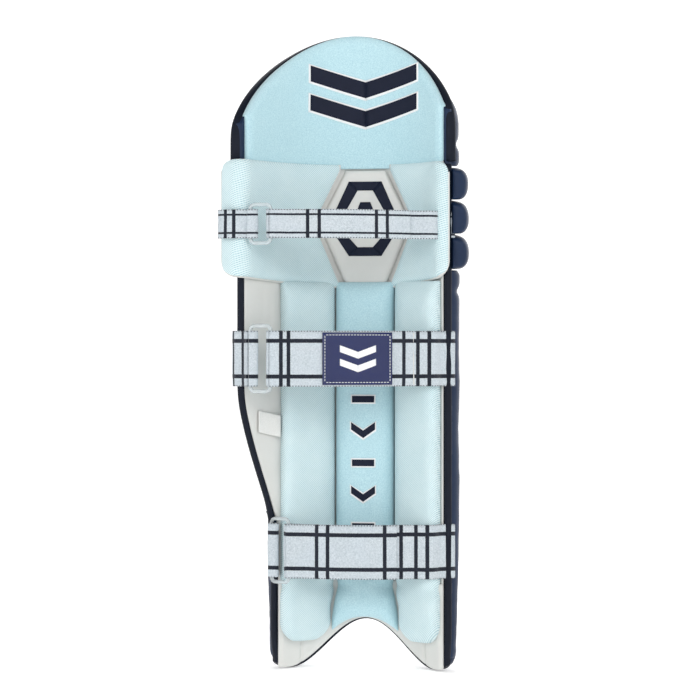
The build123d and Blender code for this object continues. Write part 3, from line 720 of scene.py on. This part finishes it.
def pad_shell():
    """Dark backing between the stuffed front and the lining."""
    def place(u, v):
        guess = (KNEE_HIGH - 0.003) * v
        edge = wing_edge(guess) - 0.2 if guess > WING_TIP - 0.010 else EDGE
        a = -EDGE + (edge + EDGE) * u
        low = toe_z(across(SHELL_R, min(a, EDGE))) + 0.001
        return a, low + (KNEE_HIGH - 0.003 - low) * v

    def height(u, v, a, z):
        if a > EDGE and z > WING_TIP:
            return pinched(SHELL_R - 0.0006, a, z) - 0.0006
        return SHELL_R - 0.0003

    dress(pillow("pad_shell_skin", place, height, CORE_R + 0.0002, 90, 110, 0.2),
          NAVY_EDGE, "pad", "shin_core", "knee_core", padded=0.3)


# ---- Bound edges
def lower_edge_path():
    """Route of the binding from the inner side of the knee, round the toes, to the wing."""
    r = SHELL_R - 0.0035
    points = [pt(r, -EDGE - BOUND, z) for z in np.linspace(0.536, 0.030, 60)]
    toes = np.linspace(-0.0965, 0.0965, 120)
    points += [pt(r, angle_at(x, r + 0.004), toe_z(x) + 0.0022) for x in toes]
    points += [pt(r, EDGE + BOUND, z) for z in np.linspace(0.030, WING_TIP - 0.012, 16)]
    rise = np.linspace(WING_TIP + 0.016, 0.536, 60)
    points += [pt(CORE_R + 0.0012, wing_edge(z) + 0.7, z) for z in rise]
    return smoothed(points, 6)


def dome_edge_path(r):
    low = KNEE_HIGH - 0.004
    left = [pt(r, -EDGE - BOUND, z) for z in np.linspace(low, dome_z(-EDGE) - 0.003, 10)]
    top = [pt(r, a, dome_z(a) + 0.0005) for a in np.linspace(-EDGE, WING, 110)]
    right = [pt(r, WING + BOUND, z) for z in np.linspace(dome_z(WING) - 0.003, low, 10)]
    return smoothed(left + top + right, 10)


def bindings():
    lower = tube("pad_edge_binding", lower_edge_path(), 0.0038, BOUND_THICK)
    dress(lower, NAVY_EDGE, "pad", "pad_binding")
    upper = tube("top_hat_edge_binding", dome_edge_path(SKIN_BACK), 0.0056, BOUND_THICK)
    bend_with_top_hat(upper, NAVY_EDGE, "top_hat_binding")


# ---- Inner side
def lining():
    back, open_from = CORE_R - 0.0001, 44

    def place(u, v):
        z = TOE_TOP + (KNEE_HIGH - 0.004 - TOE_TOP) * v
        first = -EDGE + 0.3
        last = (wing_edge(z) if z > WING_TIP - 0.01 else EDGE) - 0.3
        return first + (last - first) * u, z

    def height(u, v, a, z):
        share = min(max((a - open_from) / max(wing_edge(z) - open_from, 4), 0), 1)
        puff = smooth((a - open_from - 2) / 6) * crown(2 * share - 1, 3, 0.5)
        fold = 0.0012 * ripple(a, z * 0.25, 0.012, 80) + 0.0006 * ripple(a, z, 0.03, 81)
        shown = smooth((a - open_from) / 6) * smooth((80 - a) / 20)
        return LINING_R + 0.0004 - 0.0024 * puff - fold * shown

    dress(pillow("shin_lining_skin", place, height, back, 120, 90, 0.2),
          WHITE, "pad", "pad_lining", padded=0.3)

    def toe_place(u, v):
        a = (EDGE - 0.3) * (2 * u - 1)
        low = toe_at(a, CORE_R) + 0.002
        return a, low + (TOE_TOP + 0.001 - low) * v

    def toe_height(u, v, a, z):
        seam = hump(abs(a) - 40, 0.9)
        puff = dome_end(z - toe_at(a, CORE_R), 0.012) * (1 - 0.75 * seam) * smooth((EDGE - abs(a)) / 3)
        return LINING_R + 0.0002 - 0.0026 * puff - 0.0005 * ripple(a, z, 0.02, 85)

    toe = pillow("toe_lining_skin", toe_place, toe_height, back, 150, 40, 0.2)
    dress(toe, WHITE, "pad", "toe_lining", padded=0.4)


BOLSTERS = {  # first and last plan angle, lower end, material
    "outer": (18.3, 55.0, 0.030, MESH),
    "centre": (-17.8, 17.8, 0.054, FLEECE),
    "inner": (-54.0, -18.3, 0.030, MESH),
}


def bolster_pt(r, a, z):
    """Point on a bolster, whose sides stand nearly square off the lining."""
    base = pt(LINING_R, a, z)
    turn = radians(a)
    way = Vector((-0.35 * sin(turn), 0.35 * cos(turn) + 0.65, 0)).normalized()
    return base + way * (LINING_R - r)


def bolster_skin(name):
    """(place, height) of one bolster, also used to lay a print on it."""
    first, last, low, _ = BOLSTERS[name]
    middle, half = (first + last) / 2, (last - first) / 2
    centre = name == "centre"

    def narrow(z):
        rounded = dome_end(z - low + 0.004, 0.004 if centre else 0.024)
        return rounded * dip(z, WAIST_Z, 0.06, 0.006)

    def place(u, v):
        z = low + (BOLSTER_TOP - low) * v
        t = 2 * u - 1
        lift = -0.016 * abs(t) ** 2.2 * smooth((0.095 - z) / 0.04) if centre else 0.0
        flare = 2.6 * smooth((WAIST_Z - z) / 0.026)
        inward = 1 - t if name == "outer" else 1 + t
        shift = flare * t if centre else copysign(flare, middle) * inward / 2
        return middle + half * t * narrow(z) + shift, z + lift

    def height(u, v, a, z):
        t = 2 * u - 1
        drop = 0.014 * abs(t) ** 2.2 if centre else 0
        ends = dome_end(z - low + 0.003 + drop, 0.020) * dome_end(BOLSTER_TOP + 0.002 - z, 0.024)
        body = crown(t, 3.4, 0.45) * ends * dip(z, WAIST_Z, 0.30 * t * t, 0.008)
        soft = 0.0016 * ripple(a, z, 0.05, 90 + first) + 0.0007 * ripple(a, z, 0.018, 93 + first)
        return LINING_R - 0.0003 - (0.0235 + soft) * body

    return place, height


def bolsters():
    for name, (_, _, _, material) in BOLSTERS.items():
        place, height = bolster_skin(name)
        dress(pillow(f"bolster_skin_{name}", place, height, LINING_BACK, 36, 150, to=bolster_pt),
              material, "pad", f"bolster_{name}", "bolster_foams", padded=0.85)


def cup_half(z, grow=0.0):
    (top, high), (middle, level), (bottom, low) = CUP
    if z >= level:
        return middle + (top - middle) * (z - level) / (high - level) + grow
    return middle + (bottom - middle) * (level - z) / (level - low) + grow


def cup_radius(x, z):
    t = x / cup_half(min(max(z, CUP_LOW), CUP_HIGH))
    edge = dome_end(CUP_HIGH - z + 0.001, 0.006) * dome_end(z - CUP_LOW + 0.001, 0.006)
    return LINING_R - 0.0005 - 0.0062 * crown(min(abs(t), 1.0), 7, 0.5) * edge


def knee_cup():
    def place(u, v):
        z = CUP_LOW + (CUP_HIGH - CUP_LOW) * v
        return angle_at((2 * u - 1) * cup_half(z), CUP_R), z

    def height(u, v, a, z):
        return cup_radius((2 * u - 1) * cup_half(z), z) + 0.0004 * ripple(a, z, 0.02, 99)

    dress(pillow("knee_cup_skin", place, height, LINING_BACK, 40, 60, 0.5),
          WHITE, "pad", "knee_cup", padded=0.8)


def flap_pt(side):
    """Mapping of a flap, whose sewn edge turns outward over the end of the shell."""
    edge = side * ((WING if side > 0 else EDGE) + 1.2)

    def to(r, a, z):
        over = abs(a) - abs(edge)
        if over <= 0:
            return pt(r, a, z)
        corner = pt(FLAP_BACK, edge, z)
        heading = (pt(FLAP_BACK + 1, edge, z) - corner).normalized()
        along = (corner - pt(FLAP_BACK, edge - side, z)).normalized()
        step = radians(over) * SHELL_R
        turn = min(step / FLAP_FOLD, pi / 2)
        arm = (along * sin(turn) - heading * cos(turn)) * (FLAP_FOLD + FLAP_BACK - r)
        return corner + heading * (FLAP_FOLD + max(0.0, step - FLAP_FOLD * pi / 2)) + arm

    return to


def flap_place(side):
    sewn = WING + 12.5 if side > 0 else EDGE + 4.2

    def place(u, v):
        base = FLAP_LOW + (FLAP_HIGH - FLAP_LOW) * v
        inner = angle_at(cup_half(min(max(base, 0.411), CUP_HIGH), 0.0070), 0.1006)
        a = inner + (sewn - inner) * u
        round_off = 0.010 * (1 - dome_end((1 - u) * 0.10, 0.012))
        tilt = 0.010 * (1 - v) * u + round_off * (1 - 2 * v)
        return side * a, base + tilt

    return place


def knee_flaps():
    for side, name in ((1, "outer"), (-1, "inner")):
        place, to = flap_place(side), flap_pt(side)

        def height(u, v, a, z):
            edge = dome_end(min(u, 1 - u) * 0.08 + 0.0008, 0.010)
            edge *= dome_end(min(v, 1 - v) * 0.133 + 0.0008, 0.010)
            soft = 0.0018 * ripple(a, z, 0.05, 110 + side) + 0.0006 * ripple(a, z, 0.016, 113 + side)
            return LINING_R - 0.0046 - (0.0052 + soft) * edge

        skin = pillow(f"knee_flap_skin_{name}", place, height, FLAP_BACK, 60, 60, 0.4, to=to)
        rim = [place(0, v) for v in np.linspace(1, 0, 50)]
        rim += [place(u, 0) for u in np.linspace(0.02, 0.99, 50)]
        rim += [place(1, v) for v in np.linspace(0.02, 0.98, 40)]
        path = smoothed([to(LINING_R - 0.0042, a, z) for a, z in rim], 2)
        piping = tube(f"knee_flap_piping_{name}", path, 0.0019, 0.0017, 12)
        flap = f"knee_flap_{name}"
        dress(skin, MESH, None, flap, padded=0.7)
        dress(piping, WHITE, None)
        hinge = Vector(JOINTS[f"{flap}_hinge"]["pos_m"])
        sewn, free = hinge + Vector((side * 0.010, 0.006, 0)), hinge - Vector((side * 0.004, 0.012, 0))
        for obj in (skin, piping):
            tuple(sewn)
            tuple(free)
            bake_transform(obj)


def top_liner():
    def place(u, v):
        first, last = -EDGE + 1.0, WING - 2.5
        a = first + (last - first) * u
        high = max(dome_z(a) + 0.0012, KNEE_LAP + 0.008)
        return a, KNEE_LAP + (high - KNEE_LAP) * v

    def height(u, v, a, z):
        inside = min(dome_z(a) + 0.0012 - z, min(u, 1 - u) * 0.26)
        edge = dome_end(inside + 0.0006, 0.011)
        return CORE_R - 0.0004 - (0.0056 + 0.0014 * ripple(a, z, 0.06, 120)) * edge

    obj = pillow("top_hat_liner_skin", place, height, CORE_R + 0.0030, 110, 70, 0.35)
    bend_with_top_hat(obj, FLEECE, "top_hat_liner", padded=0.6)


# ---- Prints and patches
def quad_patch(name, quads, surface, lift, material, body, *nodes, cells=10):
    """Thin raised print made of flat quads in (across, up), laid on surface(x, z, lift)."""
    verts, faces, uvs = [], [], []
    share = [k / cells for k in range(cells + 1)]
    for corners in quads:
        a, b, c, d = [np.array(p) for p in corners]
        flat = [(a * (1 - u) + b * u) * (1 - v) + (d * (1 - u) + c * u) * v
                for u in share for v in share]
        faces += slab_faces(cells + 1, cells + 1, len(verts))
        verts += [surface(x, z, raised) for raised in (0.0, lift) for x, z in flat]
        uvs += flat * 2
    obj = mesh_object(name, verts, faces, uvs)
    return dress(obj, material, body, *nodes)


def bar(x, z, wide, tall):
    """One upright quad from its lower left corner."""
    return (x, z), (x + wide, z), (x + wide, z + tall), (x, z + tall)


def chevrons(points, half, rise, thick, grow=0.0):
    """Quads of V-shaped bars whose points are at the given heights."""
    quads = []
    for z in points:
        tip = ((0, z - grow * 1.6), (0, z + thick + grow * 1.2))
        for reach in (-half - grow, half + grow):
            quads.append(((reach, z + rise - grow), *tip, (reach, z + rise + thick + grow)))
    return quads


def hexagon_ring(z, top, middle, high, low, thick):
    """Quads of a tall six-sided ring about height z."""
    outer = [(top, high), (middle, 0), (top, -low), (-top, -low), (-middle, 0), (-top, high)]
    inner = []
    for x, y in outer:
        inner.append((x - copysign(thick, x), y - copysign(thick, y) if y else y))
    return [
        tuple((x, z + y) for x, y in (outer[i - 1], outer[i], inner[i], inner[i - 1])) for i in range(6)
    ]


def liner_surface(x, z, lift):
    a = angle_at(x, 0.102)
    return pt(CORE_R - 0.0058 - 0.0014 * ripple(a, z, 0.06, 120) - lift, a, z)


def prints():
    inked, outline = (chevrons((0.580, 0.611), 0.058, 0.017, 0.017, grow) for grow in (0.0, 0.0018))
    quad_patch("liner_print_edge", outline, liner_surface, 0.0006, WHITE_INK, "top_hat")
    quad_patch("liner_print", inked, liner_surface, 0.0010, INK, "top_hat", "top_hat_emblem")

    def cup_surface(x, z, lift):
        return pt(cup_radius(x, z) - lift, angle_at(x, CUP_R), z)

    ring = hexagon_ring(0.474, 0.0180, 0.0395, 0.0470, 0.0330, 0.0095)
    core = [((-0.0055, 0.499), (0.0055, 0.499), (0.0150, 0.476), (-0.0150, 0.476)),
            ((-0.0150, 0.476), (0.0150, 0.476), (0.0100, 0.462), (-0.0100, 0.462))]
    quad_patch("knee_cup_print", ring + core, cup_surface, 0.0006, INK, "pad", "knee_cup_emblem")

    _, height = bolster_skin("centre")

    def bolster_surface(x, z, lift):
        a = angle_at(x, LINING_R)
        return bolster_pt(height((a / BOLSTERS["centre"][1] + 1) / 2, 0.5, a, z) - lift, a, z)

    marks, edges = [], []
    for k in range(8):
        z = 0.110 + k * 0.034
        if k % 2:
            marks.append(bar(-0.013, z + 0.004, 0.026, 0.007))
            edges.append(bar(-0.0145, z + 0.0025, 0.029, 0.010))
        else:
            marks += chevrons([z], 0.014, 0.009, 0.008)
            edges += chevrons([z], 0.014, 0.009, 0.008, 0.0014)
    quad_patch("bolster_print_edge", edges, bolster_surface, 0.0005, WHITE_INK, "pad")
    quad_patch("bolster_print", marks, bolster_surface, 0.0009, INK, "pad")


def front_badge():
    low, high, peak, half = 0.057, 0.100, 0.0045, 0.0325

    def surface(x, z, lift):
        return pt(SHELL_R + 0.0112 + lift, angle_at(x, 0.127), z)

    def raised(x, z, lift):
        return surface(x, z, 0.0013 + lift)

    plate = [((x, low + peak * 0.7), (0, low), (0, high + peak), (x, high)) for x in (-half, half)]
    quad_patch("front_badge_plate", plate, surface, 0.0014, SILVER, "pad", "front_badge", cells=16)
    marks = chevrons((0.0675, 0.0815), 0.019, 0.006, 0.007)
    quad_patch("front_badge_print", marks, raised, 0.0007, INK, "pad", "front_badge_emblem")


# ---- Straps
class StrapLine:
    """Plan line of one strap, the same arc as its CAD solid follows."""

    RING_SPAN = 0.022
    RISE, DROP = 0.006, 0.0020  # the free end's height at the ring and further on

    def __init__(self, name, bow, edge, tail):
        self.name, self.bow = name, bow
        low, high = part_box(f"{name}_strap")
        self.z, self.width = (low.z + high.z) / 2, high.z - low.z
        c, s = cos(radians(edge - WING)), sin(radians(edge - WING))
        x, y = LINING_R + 0.0021, 0.0025
        anchor = Vector((x * c - y * s, x * s + y * c))
        first = radians(-EDGE + 1)
        start = Vector((sin(first), -cos(first))) * (LINING_R - 0.001)
        chord = anchor - start
        depth = sqrt(bow**2 - (chord.length / 2) ** 2)
        rear = Vector((-chord.y, chord.x)).normalized()
        self.centre = (start + anchor) / 2 - rear * depth
        self.first, self.last = self.angle_of(start), self.angle_of(anchor)
        self.bar = self.last - degrees(self.RING_SPAN / bow)
        self.tip = self.bar - degrees(tail / bow)

    def angle_of(self, p):
        off = p - self.centre
        return degrees(asin(off.x / off.length))

    def at(self, r, angle):
        turn = radians(angle)
        x, y = self.centre.x + r * sin(turn), self.centre.y + r * cos(turn)
        return Vector((AXIS_X + x, AXIS_Y + y))

    def patch_pt(self, r, start, x, z):
        """Point of a patch that lies along the strap from a plan angle."""
        return Vector((*self.at(r, start + degrees(x / self.bow)), self.z + z))


def ribbon(line, part, path, thick, material, body="pad"):
    """Flat webbing on edge along a plan path, with selvedges slightly thinner than its middle."""
    shares = np.linspace(-0.5, 0.5, 15)
    inner, outer, flat = [], [], []
    run, z, width = 0.0, line.z, line.width
    for i, p in enumerate(path):
        ahead, behind = path[min(i + 1, len(path) - 1)], path[max(i - 1, 0)]
        run += (p - behind).length
        along = (ahead - behind).normalized()
        side = Vector((-along.y, along.x))
        for rows, layer in ((inner, -0.5), (outer, 0.5)):
            row = []
            for v in shares:
                edge = 0.75 + 0.25 * dome_end((0.5 - abs(v)) * width, 0.004)
                sag = 0.0006 * noise.noise(Vector((run / 0.03, v * 3, z * 9)))
                q = p + side * (layer * thick * edge + sag)
                row.append((q.x, q.y, z + v * width))
            rows.append(row)
        flat.append([(run, v * width) for v in shares])
    node = f"{line.name}_{part}"
    dress(closed_grid(f"{node}_web", inner, outer, flat), material, body, node)


def strap(line, material, tail_material):
    """Strap with its wrap round the ring, and its free end."""
    below = line.bow - TIE_R
    path = [pt(r, -EDGE - 1.3, 0) for r in (0.1185, 0.1130, 0.1075)]
    for a in np.linspace(line.first + 0.2, line.bar, 70):
        gone = radians(a - line.first) * line.bow
        path.append(line.at(below + 0.0105 * hump(gone - 0.013, 0.013), a).to_3d())
    path = [p.to_2d() for p in smoothed(path, 2)]
    bar_place = line.at(line.bow, line.bar)
    radial = (line.at(line.bow + 1, line.bar) - bar_place).normalized()
    along = Vector((radial.y, -radial.x))
    for turn in np.linspace(-80, 84, 22):
        r = TIE_R + (line.RISE - TIE_R) * smooth((turn + 80) / 164)
        a = radians(turn)
        path.append(bar_place + along * (0.0036 * cos(a)) + radial * (r * sin(a)))
    ribbon(line, "strap", path, WEB, material)

    low = line.bow - line.DROP + WEB / 2 + 0.0001
    root = line.bow + line.RISE
    path = []
    for a in np.linspace(line.bar, line.tip, 80):
        gone = radians(line.bar - a) * line.bow
        path.append(line.at(low + (root - low) * (1 - smooth((gone + 0.002) / 0.026)), a))
    ribbon(line, "tail", path, WEB, tail_material, f"{line.name}_tail")


def strap_anchor(line, edge, material):
    """Webbing tab that wraps the outer edge and holds the ring's outer bar."""
    if line.name == "knee":
        to = flap_pt(1)
        overs = (11.8, 10, 8, 6.5, 5, 3.5, 2, 0.5, -1.5)
        wrap = [to(LINING_R - 0.0142, WING + over, 0) for over in overs]
    else:
        wrap = [pt(r, edge - 6 + k * 2.4, 0) for k, r in enumerate((0.1235, 0.1230, 0.1215))]
        wrap += [pt(r, edge + 2.2, 0) for r in (0.118, 0.112, 0.106)]
        wrap += [pt(LINING_R - 0.0022, edge + 0.6, 0)]
    outer = line.at(line.bow, line.last).to_3d()
    start = wrap[-1] - outer
    begin = degrees(atan2(start.y, start.x)) + 62
    inward = (line.at(line.bow, line.bar).to_3d() - outer).normalized()
    coil = []
    for step in np.linspace(0, 292, 30):
        a = radians(begin - step)
        arm = Vector((cos(a), sin(a), 0))
        coil.append(outer + arm * TIE_R + inward * (0.0045 * max(0.0, arm.dot(inward))))
    path = smoothed(wrap + [(wrap[-1] + coil[0]) / 2] + coil, 2)
    ribbon(line, "anchor", [p.to_2d() for p in path], 0.0017, material)


def web_material(name, width, bars, wide_lines):
    inset, thick, bar_wide = (0.0105, 0.0042, 0.0040) if wide_lines else (0.0055, 0.0021, 0.0036)
    return webbing(name, width, inset, thick, bars, bar_wide)


def calf_badge(line):
    """Glossy patch with a stitched border on the calf strap's free end."""
    half, tall = 0.037, 0.0272
    middle = line.tip + degrees(half / line.bow)

    def surface(x, z, lift):
        return line.patch_pt(line.bow - line.DROP + WEB + 0.0006 + lift, middle, -x, z)

    def raised(x, z, lift):
        return surface(x, z, 0.0009 + lift)

    plate = [bar(-half, -tall, 2 * half, 2 * tall)]
    quad_patch("calf_badge_plate", plate, surface, 0.0010, GLOSS_NAVY, "calf_tail",
               "calf_badge", cells=24)
    marks = chevrons((-0.014, 0.000), 0.019, 0.007, 0.007)
    quad_patch("calf_badge_print", marks, raised, 0.0005, WHITE_INK, "calf_tail")
    stitch, thick, pitch, border = 0.0021, 0.0007, 0.0032, 0.0026
    dashes = []
    for x in np.arange(-half + 0.004, half - 0.003, pitch):
        dashes += [bar(x, z - thick / 2, stitch, thick) for z in (border - tall, tall - border)]
    for z in np.arange(-tall + 0.004, tall - 0.004, pitch):
        dashes += [bar(x - thick / 2, z, thick, stitch) for x in (border - half, half - border)]
    quad_patch("calf_badge_stitches", dashes, raised, 0.0005, THREAD, "calf_tail", cells=2)


def strap_tab(line):
    start = line.first + degrees(0.018 / line.bow)

    def surface(x, z, lift):
        return line.patch_pt(line.bow - 0.0022 + lift, start, x, z)

    half = line.width / 2 - 0.002
    quad_patch("calf_strap_tab_skin", [bar(0, -half, 0.016, 2 * half)], surface,
               0.0009, WHITE, "pad", "calf_strap_tab", cells=12)


def size_label():
    wide, tall = 0.0305, 0.023

    def surface(x, z, lift):
        curl = 0.0030 * smooth(1 - x / 0.030) ** 2
        return pt(0.1014 - curl - lift, 58 + 17 * x / wide, z + 0.20 * (x - 0.015))

    obj = quad_patch("size_label_cloth", [bar(0, 0.2505, wide, tall)], surface, 0.0005, LABEL,
                     "size_label", "size_label", cells=16)


def straps():
    knee = StrapLine("knee", 0.220, WING, 0.150)
    calf = StrapLine("calf", 0.220, WING, 0.128)
    ankle = StrapLine("ankle", 0.170, EDGE, 0.118)
    bars = (0.012, 0.022, 0.078, 0.088, 0.142, 0.152)
    narrow = web_material("knee_webbing", knee.width, bars, False)
    wide = web_material("leg_webbing", calf.width, (0.034, 0.046, 0.062, 0.120), True)
    tail_wide = web_material("leg_tail_webbing", calf.width, (0.012, 0.020), True)
    tail_ankle = web_material("ankle_tail_webbing", ankle.width, (0.034, 0.046, 0.106), True)
    tail_knee = web_material("knee_tail_webbing", knee.width, (0.040, 0.052, 0.112, 0.124), False)
    narrow_end = web_material("knee_anchor_webbing", knee.width, (0.009, 0.018), False)
    wide_end = web_material("leg_anchor_webbing", calf.width, (0.016, 0.030), True)
    webs = ((knee, narrow, tail_knee), (calf, wide, tail_wide), (ankle, wide, tail_ankle))
    for line, web, tail_web in webs:
        strap(line, web, tail_web)
    for line, edge, web in ((knee, WING, narrow_end), (calf, WING, wide_end), (ankle, EDGE, wide_end)):
        strap_anchor(line, edge, web)
    calf_badge(calf)
    strap_tab(calf)


# ---- Stage
def stage():
    """Round pale floor that rises into a wall, soft lights and a pale world."""
    verts, faces = [Vector((0, 0, 0))], []
    turns, reach = 64, 3.6
    bends = np.linspace(0.15, pi / 2, 10)
    curve = [(reach + sin(t), 1.0 - cos(t)) for t in bends]
    profile = [(reach, 0.0), *curve, (reach + 1, 3.6)]
    for radius, z in profile:
        for k in range(turns):
            turn = 2 * pi * k / turns
            verts.append(Vector((radius * cos(turn), radius * sin(turn), z)))
    for k in range(turns):
        faces.append((0, 1 + k, 1 + (k + 1) % turns))
        for ring in range(len(profile) - 1):
            a, b = 1 + ring * turns, 1 + (ring + 1) * turns
            faces.append((a + k, a + (k + 1) % turns, b + (k + 1) % turns, b + k))
    floor = mesh_object("studio_floor", verts, faces)
    white = Nodes("studio_white")
    shade = white.mix(white.noise(2.0), (0.86, 0.86, 0.86), (0.90, 0.90, 0.90))
    floor.data.materials.append(white.finish(shade, 0.9, None, Specular_IOR_Level=0.1,
                                             Emission_Color=(1, 1, 1, 1), Emission_Strength=0.40))
    for name, place, size, power in (
        ("key", (-1.1, 1.9, 1.7), 1.2, 13), ("fill", (1.5, 1.7, 0.9), 1.4, 5),
        ("rim", (0.4, -1.6, 1.8), 1.2, 13), ("front", (-1.2, -1.8, 0.9), 1.2, 8),
    ):
        light = bpy.data.lights.new(name, "AREA")
        light.energy, light.size = power, size
        lamp = bpy.data.objects.new(name, light)
        lamp.location = place
        aim = Vector((0, 0, 0.33)) - Vector(place)
        lamp.rotation_euler = aim.to_track_quat("-Z", "Y").to_euler()
        bpy.context.scene.collection.objects.link(lamp)
    world = bpy.data.worlds.new("studio")
    world.use_nodes = True
    colour, strength = world.node_tree.nodes["Background"].inputs[:2]
    colour.default_value, strength.default_value = (1, 1, 1, 1), 0.30
    bpy.context.scene.world = world
    bpy.context.scene.view_settings.view_transform = "Standard"


def camera():
    middle = (CAD_BOX[0] + CAD_BOX[1]) / 2
    data = bpy.data.cameras.new("camera")
    data.lens, data.sensor_width = 120, 36
    view = bpy.data.objects.new("camera", data)
    turn = radians(CAMERA_TURN)
    distance = TOP / PAD_SHARE_OF_PICTURE * data.lens / data.sensor_width
    view.location = middle + Vector((-sin(turn), cos(turn), 0.0)) * distance
    view.rotation_euler = (middle - view.location).to_track_quat("-Z", "Y").to_euler()
    bpy.context.scene.collection.objects.link(view)
    bpy.context.scene.camera = view


for make in (
    dress_nodes, shin_channels, top_channels, knee_rolls, tuft_knots, instep_panel, outer_wing,
    top_hat_shell, pad_shell, bindings, lining, bolsters, knee_cup, knee_flaps, top_liner, prints,
    front_badge, straps, size_label, stage, camera,
):
    make()
